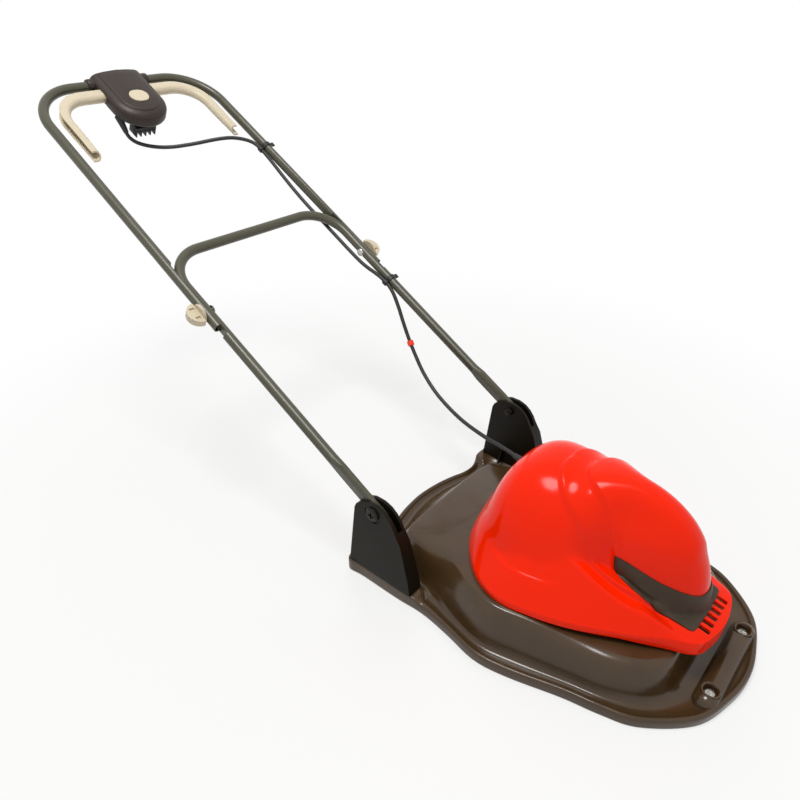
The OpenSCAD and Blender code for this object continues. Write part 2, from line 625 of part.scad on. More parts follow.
module lower_bearing() { bearing(seat_z + mount_t); }
module upper_bearing() { bearing(upper_bearing_z); }
coil_in = armature_r + 1.5;
coil_out = stator_r - 8;
coil_half_angle = 46;
module coil_sector(r_in, r_out, half_angle, z, h) {
    for (s = [0, 180]) rotate([0, 0, s - half_angle]) translate([0, 0, z])
        rotate_extrude(angle = 2 * half_angle) translate([r_in, 0]) square([r_out - r_in, h]);
}
module stator_core() {
    color("slategray") difference() {
        ring_z(stator_r, armature_r + 0.5, stator_z, stator_h);
        coil_sector(armature_r - 1, coil_out + 0.5, coil_half_angle + 4, stator_z - 1, stator_h + 2);
    }
}
module field_coils() {
    color("#b36a33") coil_sector(coil_in, coil_out, coil_half_angle, stator_z - 8, stator_h + 16);
    color("#b36a33") coil_sector(coil_out - 0.5, coil_out + 0.5, 3, stator_z, stator_h);
}
module end_bracket() {
    bar_z = stator_top + 20;
    color("darkgray") difference() {
        union() {
            for (s = [-1, 1]) translate([0, s * post_r, stator_top])
                cylinder(r = 5, h = bar_z + mount_t - stator_top);
            translate([-7, -post_r, bar_z]) cube([14, 2 * post_r, mount_t]);
            translate([-holder_end, -6, bar_z]) cube([2 * holder_end, 12, mount_t]);
            translate([0, 0, bar_z]) cylinder(r = hub_r, h = upper_bearing_z + bearing_h - bar_z);
        }
        translate([0, 0, upper_bearing_z]) cylinder(r = bearing_r + run_fit, h = bearing_h + 1);
        translate([0, 0, bar_z - 1]) cylinder(r = shaft_r + 1, h = upper_bearing_z);
    }
}
commutator_r = 13;
commutator_z = stator_top + 8;
commutator_h = 11;
holder_w = 12;
holder_end = commutator_r + 19;
module brush_holders() {
    color("#3a2a1e") for (s = [-1, 1]) scale([s, 1, 1]) difference() {
        union() {
            translate([commutator_r + 3, -holder_w / 2, commutator_z + 1])
                cube([holder_end - commutator_r - 3, holder_w, 11]);
        }
        translate([0, -3, commutator_z + 3]) cube([commutator_r + 14, 6, 6]);
    }
}
module brushes() {
    color("#222222") for (s = [-1, 1]) scale([s, 1, 1])
        translate([commutator_r + loose_fit, -3 + run_fit, commutator_z + 3])
        cube([13, 6 - 2 * run_fit, 6 - run_fit]);
}
module terminal_block() {
    color("ivory") translate([mount_ring_r + 4, -12, seat_z]) difference() {
        cube([14, 24, 14]);
        for (i = [0:2]) translate([7, 4 + 8 * i, 6]) cylinder(r = 2, h = 10);
    }
}

// Turning parts
bolt_r = 4;
bolt_deep = 18;
module rotor_shaft() {
    color("gainsboro") difference() {
        translate([0, 0, blade_z + blade_t]) cylinder(r = shaft_r, h = shaft_top - blade_z - blade_t);
        translate([0, 0, blade_z]) cylinder(r = bolt_r - 1 + run_fit, h = bolt_deep + blade_t);
    }
}
slot_total = 12;
module armature_core() {
    color("slategray") difference() {
        ring_z(armature_r, shaft_r, stator_z + 2, stator_h - 4);
        for (i = [0:slot_total - 1]) rotate([0, 0, i * 360 / slot_total])
            translate([armature_r - 7, -1.2, stator_z]) cube([10, 2.4, stator_h]);
    }
}
module armature_winding() {
    color("#c4783a") for (z = [stator_z - 5, stator_top - 2])
        ring_z(armature_r - 5, shaft_r, z, 7);
}
module commutator() {
    color("peru") difference() {
        ring_z(commutator_r, shaft_r, stator_top + 5, commutator_z + commutator_h - stator_top - 5);
        for (i = [0:slot_total - 1]) rotate([0, 0, i * 360 / slot_total])
            translate([commutator_r - 1.5, -0.4, commutator_z]) cube([3, 0.8, commutator_h + 1]);
    }
}
disc_t = 2.5;
vane_t = 2.2;
vane_r = 62;
vane_swing = 74;
module impeller() {
    color("#26251f") {
        rotate_extrude() polygon([[shaft_r, impeller_z], [impeller_r, impeller_z],
            [impeller_r, impeller_z + disc_t], [hub_r + 3, impeller_z + disc_t],
            [hub_r + 3, impeller_top], [shaft_r, impeller_top]]);
        for (i = [0:vane_count - 1]) rotate([0, 0, i * 360 / vane_count])
            translate([vane_r + hub_r, 0, impeller_z + disc_t / 2]) rotate([0, 0, 180 - vane_swing])
            rotate_extrude(angle = vane_swing) translate([vane_r - vane_t, 0])
            square([vane_t, impeller_top - impeller_z - disc_t / 2 - 1]);
    }
}
module height_spacers() {
    color("#ff3209") for (i = [0, 1]) ring_z(hub_r + 3, shaft_r, blade_z + blade_t + i * spacer_t, spacer_t);
}
edge_w = 9;
edge_len = 62;
module blade() {
    color("silver") difference() {
        translate([0, 0, blade_z]) linear_extrude(blade_t) difference() {
            intersection() {
                circle(r = cut_d / 2);
                square([cut_d, blade_w], center = true);
            }
            circle(r = bolt_r + run_fit);
            for (s = [-1, 1]) translate([s * 24, 0]) circle(r = 3.2);
            for (a = [0, 180]) rotate(a) polygon([[44, blade_w / 2 + 1], [44, blade_w / 2],
                [58, blade_w / 2 - 7], [cut_d / 2 - edge_len - 12, blade_w / 2 - 7],
                [cut_d / 2 - edge_len, blade_w / 2 + 1]]);
        }
        for (a = [0, 180]) rotate([0, 0, a])
            translate([cut_d / 2 - edge_len, -blade_w / 2, blade_z])
            rotate([atan2(blade_t - 0.5, edge_w), 0, 0])
            translate([0, -20, -20]) cube([edge_len + 5, 20 + edge_w * 1.2, 20]);
    }
}
washer_t = 1.5;
module blade_washer() {
    color("gainsboro") ring_z(12, bolt_r + run_fit, blade_z - washer_t, washer_t);
}
bolt_head_h = 7;
module blade_bolt() {
    color("gainsboro") {
        translate([0, 0, blade_z - washer_t - bolt_head_h]) cylinder(r = 8, h = bolt_head_h, $fn = 6);
        translate([0, 0, blade_z - washer_t]) cylinder(r = bolt_r, h = washer_t + blade_t);
        translate([0, 0, blade_z - washer_t]) cylinder(r = bolt_r - 1, h = washer_t + blade_t + bolt_deep - 2);
    }
}

// Handle tubes: legs, bends and a bar, as a solid of any radius, with legs that may lean inwards
module bent_tube(x, u0, u1, bend, r, lean = 0) {
    both_sides() translate([x - bend, u1 - bend, 0]) rotate([0, 0, lean]) {
        rotate_extrude(angle = 90 - lean) translate([bend, 0]) circle(r = r);
        translate([bend, 0, 0]) rotate([90, 0, 0]) cylinder(r = r, h = u1 - bend - u0);
    }
    translate([0, u1, 0]) rod_x(bend - x, x - bend, r);
}
// Space taken off a tube on one side of the lap between the handles
module lap_cut(face, out, ramp) {
    both_sides() translate([0, 0, -tube_d]) linear_extrude(2 * tube_d)
        polygon([[face, knob_u - lap_below], [face, knob_u + lap_above],
            [out, knob_u + lap_above + ramp], [out, knob_u - lap_below - ramp]]);
}
lower_lap = lap_x - loose_fit / 2;
upper_lap = lap_x + loose_fit / 2;
module bolt_holes(u, r) {
    translate([0, u, 0]) rod_x(-2 * leg_x, 2 * leg_x, r);
}
module lower_handle() {
    color("#55523f") on_handle() difference() {
        union() {
            difference() {
                bent_tube(leg_x, round_from_u, crossbar_u, lower_bend_r, tube_r);
                lap_cut(lower_lap, leg_x + tube_d, 0);
                difference() {
                    bent_tube(leg_x, round_from_u, crossbar_u, lower_bend_r, tube_r - tube_wall);
                    lap_cut(lower_lap - tube_wall, leg_x + tube_d, 0);
                }
            }
            both_sides() {
                hull() {
                    translate([leg_x, round_from_u, 0]) rotate([-90, 0, 0])
                        cylinder(r = tube_r, h = 1, $fn = 32);
                    translate([leg_x - flat_t / 2, flat_from_u - 1, -flat_w / 2]) cube([flat_t, 1, flat_w]);
                }
                along_x(leg_x - flat_t / 2, flat_t) {
                    translate([-flat_end + flat_w / 2, 0]) circle(r = flat_w / 2);
                    translate([-flat_end + flat_w / 2, -flat_w / 2])
                        square([flat_from_u + flat_end - flat_w / 2, flat_w]);
                }
            }
        }
        bolt_holes(0, pivot_bolt_r + run_fit);
        bolt_holes(knob_u, knob_bolt_r + run_fit);
    }
}
module upper_handle() {
    inboard = upper_x - tube_d;
    color("#55523f") on_handle() difference() {
        bent_tube(upper_top_x, upper_end_u, loop_u, upper_bend_r, tube_r, upper_lean);
        lap_cut(upper_lap, inboard, lap_ramp);
        difference() {
            bent_tube(upper_top_x, upper_end_u - 1, loop_u, upper_bend_r, tube_r - tube_wall, upper_lean);
            lap_cut(upper_lap + tube_wall, inboard, lap_ramp);
        }
        bolt_holes(knob_u, knob_bolt_r + run_fit);
    }
}
knob_base = upper_x + tube_r + loose_fit;
knob_base_t = 4;
knob_bolt_end = knob_base + knob_base_t + wing_r - 6;
module handle_bolts() {
    color("silver") on_handle() both_sides() translate([0, knob_u, 0]) {
        rod_x(leg_x - tube_r - 0.1, knob_bolt_end, knob_bolt_r);
        translate([leg_x - tube_r - 0.1, 0, 0]) rotate([0, -90, 0]) rotate_extrude()
            polygon([[0, 0], [7, 0], [6, 2.2], [3, 3.2], [0, 3.5]]);
    }
}
module knob(s) {
    color("#ebdec3") on_handle() mirror([s < 0 ? 1 : 0, 0, 0]) translate([0, knob_u, 0]) difference() {
        union() {
            rod_x(knob_base, knob_base + knob_base_t, wing_r - 3);
            translate([knob_base + knob_base_t, 0, -wing_t / 2]) intersection() {
                cylinder(r = wing_r, h = wing_t);
                translate([-0.5, -wing_r, 0]) cube([wing_r + 1, 2 * wing_r, wing_t]);
            }
        }
        rod_x(knob_base - 1, knob_bolt_end + 0.5, knob_bolt_r + run_fit);
        for (n = [-1, 1], y = [-1, 1]) translate([knob_base + knob_base_t + 2.5,
            y * 8.5 - 2.5, n > 0 ? wing_t / 2 - 2.5 : -wing_t / 2 - 1]) cube([8, 5, 3.5]);
    }
}
module knob_left() { knob(1); }
module knob_right() { knob(-1); }

// Switch box: a shield-shaped case in two halves on the top bar
function case_section(half_w, top, edge) = [[0, 0], [half_w, 0], [half_w, edge * 0.32],
    [half_w - 1.5, edge * 0.5], [half_w - 5, edge * 0.68], [half_w - 11, edge * 0.82],
    [half_w - 25, top - 1.5], [0, top]];
module shield(section, end_u) {
    full = concat(section, [for (i = [len(section) - 1:-1:1]) [-section[i].x, section[i].y]]);
    translate([0, box_mid_u, 0]) rotate([0, 0, 180]) rotate_extrude(angle = 180) polygon(section);
    translate([0, end_u, 0]) rotate([90, 0, 0]) linear_extrude(end_u - box_mid_u) polygon(full);
}
module case_openings() {
    translate([0, loop_u, 0]) rod_x(-2 * box_half_w, 2 * box_half_w, tube_r + 0.15);
    for (s = [-1, 1]) translate([s * box_half_w, lever_u, 0])
        cube([2 * (box_half_w - lever_pin_x) - 6, lever_d + 7, lever_h + 3], center = true);
}
module case_half(depth) {
    difference() {
        shield(case_section(box_half_w, depth, depth), box_end_u);
        translate([0, 0, -0.01])
            shield(case_section(box_half_w - box_wall, depth - box_wall, depth - box_wall), box_end_u - box_wall);
    }
}
module switch_case_upper() {
    color("#3b3129") on_handle() difference() {
        case_half(box_top);
        case_openings();
        translate([0, button_u, 0]) oval(button_r + loose_fit, box_top + 5);
    }
}
module switch_case_lower() {
    color("#2b2521") on_handle() difference() {
        mirror([0, 0, 1]) case_half(box_deep);
        case_openings();
        case_screw_places() translate([0, 0, -box_deep - 5]) cylinder(r = 2.1, h = 10);
    }
}
// Oval: two round ends and the flat between them
module oval(r, h) {
    for (s = [-1, 1]) translate([s * button_half, 0, 0]) cylinder(r = r, h = h);
    translate([-button_half, -r, 0]) cube([2 * button_half, 2 * r, h]);
}
button_flange_z = box_top - box_wall - 4;
module lock_button() {
    color("#ebdec3") on_handle() translate([0, button_u, 0]) {
        translate([0, 0, button_flange_z]) oval(button_r, box_top + 2 - button_flange_z);
        translate([0, 0, button_flange_z]) oval(button_r + 3, 1.5);
    }
}
spring_r = 5;
spring_wire = 0.7;
spring_turns = 5;
spring_low = -box_deep + box_wall + spring_wire + 0.1;
spring_high = button_flange_z - spring_wire - 0.1;
module button_spring() {
    steps = spring_turns * 10;
    color("silver") on_handle() translate([0, button_u, 0])
        swept_tube([for (i = [0:steps]) [spring_r * cos(36 * i), spring_r * sin(36 * i),
            mix(spring_low, spring_high, i / steps)]], spring_wire, 6);
}
module microswitch() {
    color("#303030") on_handle() translate([0, lever_u - 6, -box_deep + box_wall + 1.8]) {
        translate([-14, -6, 0]) cube([28, 12, 10]);
        for (s = [-1, 1]) translate([s * 10, 0, 10]) cylinder(r = 2, h = 1.5);
    }
}
module lever_pins() {
    color("silver") on_handle() both_sides() translate([lever_pin_x, lever_u, 0.76 * (box_wall - box_deep)])
        cylinder(r = lever_pin_r, h = 0.76 * (box_deep + box_top - 2 * box_wall));
}
module case_screw_places() {
    for (p = [[-20, 14, -1], [20, 14, -1], [0, -10.5, 0]]) translate([p.x, box_mid_u + p.y, -p.z]) children();
}
module case_screws() {
    color("silver") on_handle() case_screw_places() {
        translate([0, 0, -box_deep - 2.2]) cylinder(r = 4, h = 2.2);
        translate([0, 0, -box_deep - 2]) cylinder(r = 2, h = 12);
    }
}
lever_pin_r = 2.5;
lever_wall = 2.5;
// Channel that is round on the hand's side and open towards the tube
module lever_profile() {
    r = lever_h / 2;
    difference() {
        union() {
            translate([r - lever_d / 2, 0]) circle(r = r);
            translate([r - lever_d / 2, -r]) square([lever_d - r, lever_h]);
        }
        translate([r - lever_d / 2, 0]) circle(r = r - lever_wall);
        translate([r - lever_d / 2, lever_wall - r]) square([lever_d, lever_h - 2 * lever_wall]);
    }
}
module lever(s) {
    arm = bend_x - lever_pin_x - 12;
    color("#e4d6ba") on_handle() mirror([s < 0 ? 1 : 0, 0, 0]) difference() {
        union() {
            translate([lever_pin_x, lever_u, -lever_h / 2]) cylinder(r = lever_d / 2, h = lever_h);
            translate([lever_pin_x, lever_u - lever_d / 2, -lever_h / 2]) cube([13, lever_d, lever_h]);
            translate([bend_x, lever_u, 0]) rotate([0, -90, 0]) rotate([0, 0, 90])
                linear_extrude(arm) lever_profile();
            translate([bend_x, bend_u, 0]) rotate_extrude(angle = 90)
                translate([lever_bend_r, 0]) lever_profile();
            translate([bend_x + lever_bend_r, bend_u, 0]) rotate([90, 0, 0])
                linear_extrude(lever_grip) lever_profile();
        }
        translate([lever_pin_x, lever_u, -lever_h]) cylinder(r = lever_pin_r + run_fit, h = 2 * lever_h);
        translate([bend_x + lever_bend_r - lever_d, bend_u - lever_grip, lever_h / 2])
            rotate([50, 0, 0]) translate([0, -20, -6]) cube([2 * lever_d, 20, 12]);
    }
}
module lever_left() { lever(1); }
module lever_right() { lever(-1); }

// Under the box: ribbed inlet block, tapered cord guard, and a hook behind it
module inlet_block() {
    color("#151515") on_handle() translate([-24, box_mid_u - 38, 0.9 - box_deep]) {
        translate([0, 0, -5]) cube([38, 22, 5]);
        for (i = [0:4]) translate([i * 9, 0, -18]) cube([2, 22, 14]);
        translate([0, 10, -16]) cube([38, 2, 12]);
    }
}
guard_at = [-42, 817, -10];
guard_to = [-33, 807, -33];
module cord_guard() {
    v = guard_to - guard_at;
    color("#1c1c1c") on_handle() difference() {
        translate(guard_at) rotate([0, acos(v.z / norm(v)), atan2(v.y, v.x)]) rotate_extrude()
            polygon([[0, -4], [6.5, -4], [6, 4], [cord_d / 2 + 0.8, norm(v) - 0.2], [0, norm(v) - 0.2]]);
        mirror([0, 0, 1]) shield(case_section(box_half_w, box_deep, box_deep), box_end_u);
    }
}
module cord_hook() {
    color("#1c1c1c") on_handle() translate([0, box_end_u, 5]) {
        rotate_extrude(angle = 180) translate([12, 0]) circle(r = 2.5);
        for (s = [-1, 1]) translate([s * 12 - 4, 0, -4]) cube([8, 2, 8]);
    }
}

// Cord clips: a split ring on the tube with an eye for the cord
cord_x = 156;
cord_n = -2;
clip_w = 8;
module cord_clip(x, u) {
    color("#2b2b28") on_handle() translate([0, u - clip_w / 2, 0]) rotate([-90, 0, 0]) linear_extrude(clip_w)
        difference() {
            union() {
                translate([x, 0]) circle(r = tube_r + 2);
                translate([cord_x, -cord_n]) circle(r = cord_d / 2 + 2);
                translate([x + tube_r, -5]) square([8, 3]);
            }
            translate([x, 0]) circle(r = tube_r + 0.1);
            translate([cord_x, -cord_n]) circle(r = cord_d / 2 + 0.3);
        }
}
clip_upper_u = 674;
clip_lower_u = 316;
module cord_clip_upper() { cord_clip(upper_x - (clip_upper_u - knob_u) * sin(upper_lean), clip_upper_u); }
module cord_clip_lower() { cord_clip(leg_x, clip_lower_u); }

// Cord routes. The first two are on the handle: across, up the handle, out of its plane.
upper_route = [[-33, 807, -33], [-31.4, 805.2, -37.1], [-27.2, 800.3, -42.2], [-18, 792.5, -46.5],
    [-3, 782, -47.5], [14, 771, -45], [32, 761, -40], [50, 752, -33], [69, 743, -25], [88, 734, -16],
    [106, 726, -9], [122, 719, -5], [137, 710, -3], [148, 700, -2], [154, 690.5, -2], [156, 681, -2],
    [156, 674.2, -2]];
middle_route = [[156, 674, -2], [156, 663, -2], [156, 647, -3.2], [156, 630, -5], [156, 600, -8.5],
    [156, 565, -11.5], [156, 530, -13], [156, 490, -13], [156, 450, -13], [156, 410, -13], [156, 380, -12],
    [156, 360, -9], [156, 342, -4.5], [156, 327, -2], [156, 314, -2]];
lower_route = [[156, 459.4, 284.54], [156, 452.67, 280.58], [154, 440.5, 269.5], [149.5, 425, 250],
    [144, 410, 229], [138, 392, 205], [132, 372, 182], [124, 346, 158], [115, 313, 138], [106, 278, 126],
    [97, 242, 119], [89, 208, 117], [81, 175, 118], [76, 152, 120], [72, 135.5, 121], [68.2, 119.1, 121]];
module cord_upper() { color("#2a2a2a") on_handle() swept_tube(upper_route, cord_d / 2, 10); }
module cord_middle() { color("#2a2a2a") on_handle() swept_tube(middle_route, cord_d / 2, 10); }
module cord_lower() { color("#2a2a2a") swept_tube(lower_route, cord_d / 2, 10); }
marker_at = 5;
marker_len = 9;
module cord_marker() {
    v = route_dir(lower_route, marker_at);
    color("#ff4614") translate(mix(lower_route[marker_at], lower_route[marker_at + 1], 0.3))
        rotate([0, acos(v.z), atan2(v.y, v.x)]) translate([0, 0, -marker_len / 2]) difference() {
            cylinder(r = cord_d / 2 + 2.4, h = marker_len);
            translate([0, 0, -1]) cylinder(r = cord_d / 2 + loose_fit, h = marker_len + 2);
        }
}

deck();
bracket_left();
bracket_right();
pivot_bolts();
pivot_nuts();
front_screws();
motor_cover();
cover_trim();
cover_screws();
cord_gland();
motor_mount();
mount_screws();
lower_bearing();
upper_bearing();
stator_core();
field_coils();
end_bracket();
brush_holders();
brushes();
terminal_block();
rotor_shaft();
armature_core();
armature_winding();
commutator();
impeller();
height_spacers();
blade();
blade_washer();
blade_bolt();
lower_handle();
handle_bolts();
cord_clip_lower();
upper_handle();
switch_case_upper();
switch_case_lower();
inlet_block();
cord_guard();
cord_hook();
lever_pins();
microswitch();
case_screws();
cord_clip_upper();
button_spring();
lever_left();
lever_right();
lock_button();
knob_left();
knob_right();
cord_upper();
cord_middle();
cord_lower();
cord_marker();
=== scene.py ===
"""Looks of a hover mower: a glossy hood, a domed cover, folding tube handles and a clipped cord.

The frame gives every place in metres: Z up along the blade axis, the front along -Y, the left side +X.
"""
import json
import math

import bmesh
import bpy
from mathutils import Matrix, Vector

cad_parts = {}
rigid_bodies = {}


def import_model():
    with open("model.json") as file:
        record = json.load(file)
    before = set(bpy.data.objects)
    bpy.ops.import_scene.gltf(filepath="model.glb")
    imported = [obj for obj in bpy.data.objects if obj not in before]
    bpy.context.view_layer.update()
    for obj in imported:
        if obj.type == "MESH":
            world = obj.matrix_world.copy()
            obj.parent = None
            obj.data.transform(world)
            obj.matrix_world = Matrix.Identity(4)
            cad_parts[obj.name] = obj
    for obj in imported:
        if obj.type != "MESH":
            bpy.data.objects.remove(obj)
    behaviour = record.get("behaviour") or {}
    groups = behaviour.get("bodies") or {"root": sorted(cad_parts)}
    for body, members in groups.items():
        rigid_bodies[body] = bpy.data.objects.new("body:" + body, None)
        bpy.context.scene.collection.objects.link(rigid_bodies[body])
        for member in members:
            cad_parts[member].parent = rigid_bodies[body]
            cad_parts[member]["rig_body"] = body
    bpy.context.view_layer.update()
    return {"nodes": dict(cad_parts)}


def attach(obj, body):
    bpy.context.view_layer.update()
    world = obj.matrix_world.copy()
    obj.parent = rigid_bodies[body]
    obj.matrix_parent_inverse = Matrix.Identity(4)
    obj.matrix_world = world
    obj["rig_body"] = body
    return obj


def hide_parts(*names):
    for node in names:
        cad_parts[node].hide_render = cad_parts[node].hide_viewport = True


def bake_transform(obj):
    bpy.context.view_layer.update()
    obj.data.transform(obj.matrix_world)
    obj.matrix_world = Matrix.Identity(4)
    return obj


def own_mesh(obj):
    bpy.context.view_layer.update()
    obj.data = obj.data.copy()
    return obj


bl_info = {
    "name": "Hover mower",
    "version": (1, 0, 0),
    "blender": (4, 5, 0),
    "location": "3D View > Sidebar > Mower",
    "description": "Builds the looks of a hover mower round its frame",
    "category": "Object",
}

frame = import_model()
MM = 0.001


# Colours and sizes that a user may change

def linear(code):
    """Linear RGB of an sRGB hex colour"""
    parts = [int(code[i:i + 2], 16) / 255 for i in (1, 3, 5)]
    return tuple(c / 12.92 if c <= 0.04045 else ((c + 0.055) / 1.055) ** 2.4 for c in parts)


def colour(name, text, code):
    """Colour property whose default is an sRGB hex colour"""
    return bpy.props.FloatVectorProperty(name=name, description=text, subtype="COLOR", size=3,
                                         min=0, max=1, default=linear(code))


class MowerColours(bpy.types.PropertyGroup):
    """Colours of the mower's mouldings, paint and cord"""
    hood: colour("Hood", "Glossy moulding over the blade", "#46331D")
    bracket: colour("Brackets", "Satin moulding that carries the handle", "#16120A")
    cover: colour("Cover", "Glossy moulding over the motor", "#FF2600")
    trim: colour("Trim", "Matte band round the cover's nose", "#3A3023")
    tube: colour("Tubes", "Paint on the handle tubes", "#4A4838")
    cream: colour("Cream", "Levers, button and wing knobs", "#D2C5AA")
    box: colour("Switch box", "Grained moulding of the switch box", "#2A1F17")
    cord: colour("Cord", "Sheath of the cord", "#1E1E1D")
    marker: colour("Marker", "Small clip on the cord", "#FF3A10")


class MowerSizes(bpy.types.PropertyGroup):
    """Sizes of the finish that the solids leave to the eye"""
    edge: bpy.props.FloatProperty(name="Moulded edge", description="Rounding of a moulded edge",
                                  default=0.8 * MM, min=0.1 * MM, max=2 * MM, unit="LENGTH")
    hood_steps: bpy.props.IntProperty(name="Hood steps", description="Steps between two hood points",
                                      default=6, min=3, max=10)
    cover_steps: bpy.props.IntProperty(name="Cover steps", description="Steps between two cover points",
                                       default=12, min=4, max=16)
    cord_radius: bpy.props.FloatProperty(name="Cord radius", description="Radius of the cord's sheath",
                                         default=3.3 * MM, min=2.5 * MM, max=4 * MM, unit="LENGTH")


# Shared geometry, in millimetres until a piece is finished

MERGE_MM = 0.001
MERGE_M = 2e-6
FLAT_ANGLE = math.radians(1)
TURNS = 48


def limit(v):
    """Value kept between 0 and 1"""
    return max(0.0, min(1.0, v))


def step_up(a, b, v):
    """Smooth step from 0 at a to 1 at b"""
    t = limit((v - a) / (b - a))
    return t * t * (3 - 2 * t)


def soft_max(a, b, k):
    """Larger of two values, blended where they differ by less than k"""
    h = limit(0.5 + 0.5 * (a - b) / k)
    return b + (a - b) * h + k * h * (1 - h)


def table_at(table, v):
    """Value between the rows of a table"""
    for (a, p), (b, q) in zip(table, table[1:]):
        if v <= b:
            return p + (q - p) * (v - a) / (b - a)
    return table[-1][1]


def spline(a, b, c, d, t):
    """Point between b and c on a smooth curve through a, b, c and d"""
    return (2 * b + (c - a) * t + (2 * a - 5 * b + 4 * c - d) * t * t
            + (3 * b - a - 3 * c + d) * t ** 3) / 2


def mirrored(half):
    """Closed loop of points from its half on the left side"""
    left = [Vector(p).to_3d() for p in half]
    return left + [Vector((-p.x, p.y, p.z)) for p in left[-2:0:-1]]


def smooth_loop(loop, steps):
    """Dense points of a closed curve through the points of a loop"""
    n = len(loop)
    return [spline(loop[i - 1], loop[i], loop[(i + 1) % n], loop[(i + 2) % n], k / steps)
            for i in range(n) for k in range(steps)]


def smooth_route(points, steps):
    """Dense points of an open curve through the points of a route"""
    p = [Vector(q) for q in points]
    p = [2 * p[0] - p[1]] + p + [2 * p[-1] - p[-2]]
    dense = [spline(*p[i:i + 4], k / steps) for i in range(len(p) - 3) for k in range(steps)]
    return dense + [p[-2]]


def inward(loop, i):
    """Level unit vector from a point of a loop to its inside"""
    t = loop[(i + 1) % len(loop)] - loop[i - 1]
    return Vector((-t.y, t.x, 0)).normalized()


def loft(rings):
    """bmesh of a skin, made by extruding a ring of edges from ring to ring, and its last ring"""
    bm = bmesh.new()
    verts = [bm.verts.new(p) for p in rings[0]]
    edges = [bm.edges.new((verts[i - 1], verts[i])) for i in range(len(verts))]
    for ring in rings[1:]:
        made = bmesh.ops.extrude_edge_only(bm, edges=edges)["geom"]
        fresh = {v for v in made if isinstance(v, bmesh.types.BMVert)}
        edges = [e for e in made if isinstance(e, bmesh.types.BMEdge)]
        twins = [next(e.other_vert(v) for e in v.link_edges if e.other_vert(v) in fresh) for v in verts]
        for twin, place in zip(twins, ring):
            twin.co = place
        verts = twins
    return bm, verts


def capped(rings):
    """bmesh of a rod with closed ends, lofted from ring to ring"""
    bm, last = loft(rings)
    bm.faces.new(last)
    bmesh.ops.edgenet_fill(bm, edges=[e for e in bm.edges if e.is_boundary])
    bmesh.ops.recalc_face_normals(bm, faces=bm.faces)
    return bm


def tidy(bm, near=MERGE_MM):
    """Merges doubles and turns the faces outwards"""
    bmesh.ops.remove_doubles(bm, verts=bm.verts, dist=near)
    bmesh.ops.recalc_face_normals(bm, faces=bm.faces)
    return bm


def lathe(profile):
    """Solid turned about Z from a profile of radius and height"""
    bm = bmesh.new()
    verts = [bm.verts.new((r, 0, z)) for r, z in profile]
    edges = [bm.edges.new(pair) for pair in zip(verts, verts[1:])]
    bmesh.ops.spin(bm, geom=verts + edges, axis=(0, 0, 1), cent=(0, 0, 0), angle=2 * math.pi,
                   steps=TURNS, use_merge=True)
    return tidy(bm)


def to_metres(bm):
    bmesh.ops.scale(bm, vec=(MM, MM, MM), verts=bm.verts)
    return bm


def mesh_of(name, bm):
    """Mesh from a bmesh, which is freed"""
    mesh = bpy.data.meshes.new(name)
    bm.to_mesh(mesh)
    bm.free()
    return mesh


def in_scene(name, data):
    """New object in the scene"""
    made = bpy.data.objects.new(name, data)
    bpy.context.scene.collection.objects.link(made)
    return made


def cad_copy(node, edge=0.0, segments=2, sharp=30):
    """Merged copy of a frame node, in metres, with its sharp edges rounded"""
    bm = bmesh.new()
    bm.from_mesh(frame["nodes"][node].data)
    bmesh.ops.remove_doubles(bm, verts=bm.verts, dist=MERGE_M)
    if edge:
        bmesh.ops.dissolve_limit(bm, angle_limit=FLAT_ANGLE, verts=bm.verts, edges=bm.edges,
                                 use_dissolve_boundaries=False)
        least = math.radians(sharp)
        edges = [e for e in bm.edges if e.is_manifold and e.calc_face_angle(0) > least]
        bmesh.ops.bevel(bm, geom=edges, offset=edge, offset_type="OFFSET", affect="EDGES",
                        segments=segments, profile=0.5, material=-1, clamp_overlap=True)
    return bm


def make(name, bm, material, nodes, smooth=35):
    """Object from a bmesh in metres that stands for frame nodes and rides with the first of them"""
    mesh = mesh_of(name, bm)
    mesh.materials.append(material)
    mesh.shade_smooth()
    mesh.set_sharp_from_angle(angle=math.radians(smooth))
    piece = in_scene(name, mesh)
    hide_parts(*nodes)
    first = nodes[0]
    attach(piece, frame["nodes"][first]["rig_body"])
    return piece


def dress(name, material, edge=0.0, segments=2, sharp=30, smooth=35):
    """Piece that keeps a frame node's shape, with a finish and edges rounded by so many metres"""
    bm = cad_copy(name, edge, segments, sharp)
    piece = make(name + "_piece", bm, material, [name], smooth=smooth)
    if edge:
        normals = piece.modifiers.new("Even normals", "WEIGHTED_NORMAL")
        normals.keep_sharp = True
    return piece


def carve(piece, cutter_bm):
    """Cuts a bmesh, in metres, out of a piece"""
    cutter = in_scene("cutter", mesh_of("cutter", cutter_bm))
    cut = piece.modifiers.new("Cut", "BOOLEAN")
    cut.operation = "DIFFERENCE"
    cut.solver = "MANIFOLD"
    cut.object = cutter
    settle(piece)
    bpy.data.objects.remove(cutter)


def settle(piece):
    """Gives a piece the mesh that its modifiers make, and removes them"""
    shown = piece.evaluated_get(bpy.context.evaluated_depsgraph_get())
    piece.data = bpy.data.meshes.new_from_object(shown)
    piece.modifiers.clear()


# Materials

def add(tree, kind, inputs=None, **settings):
    """Node with its settings, and its inputs set or linked"""
    node = tree.nodes.new(kind)
    for key, value in settings.items():
        setattr(node, key, value)
    for key, value in (inputs or {}).items():
        if isinstance(value, bpy.types.NodeSocket):
            tree.links.new(value, node.inputs[key])
        else:
            node.inputs[key].default_value = value
    return node


def fresh_tree(owner):
    """Empty node tree of a material or world"""
    owner.use_nodes = True
    owner.node_tree.nodes.clear()
    return owner.node_tree


def per_mm(size):
    """Texture scale, on coordinates in metres, of a pattern with features so many mm wide"""
    return 1 / (size * MM)


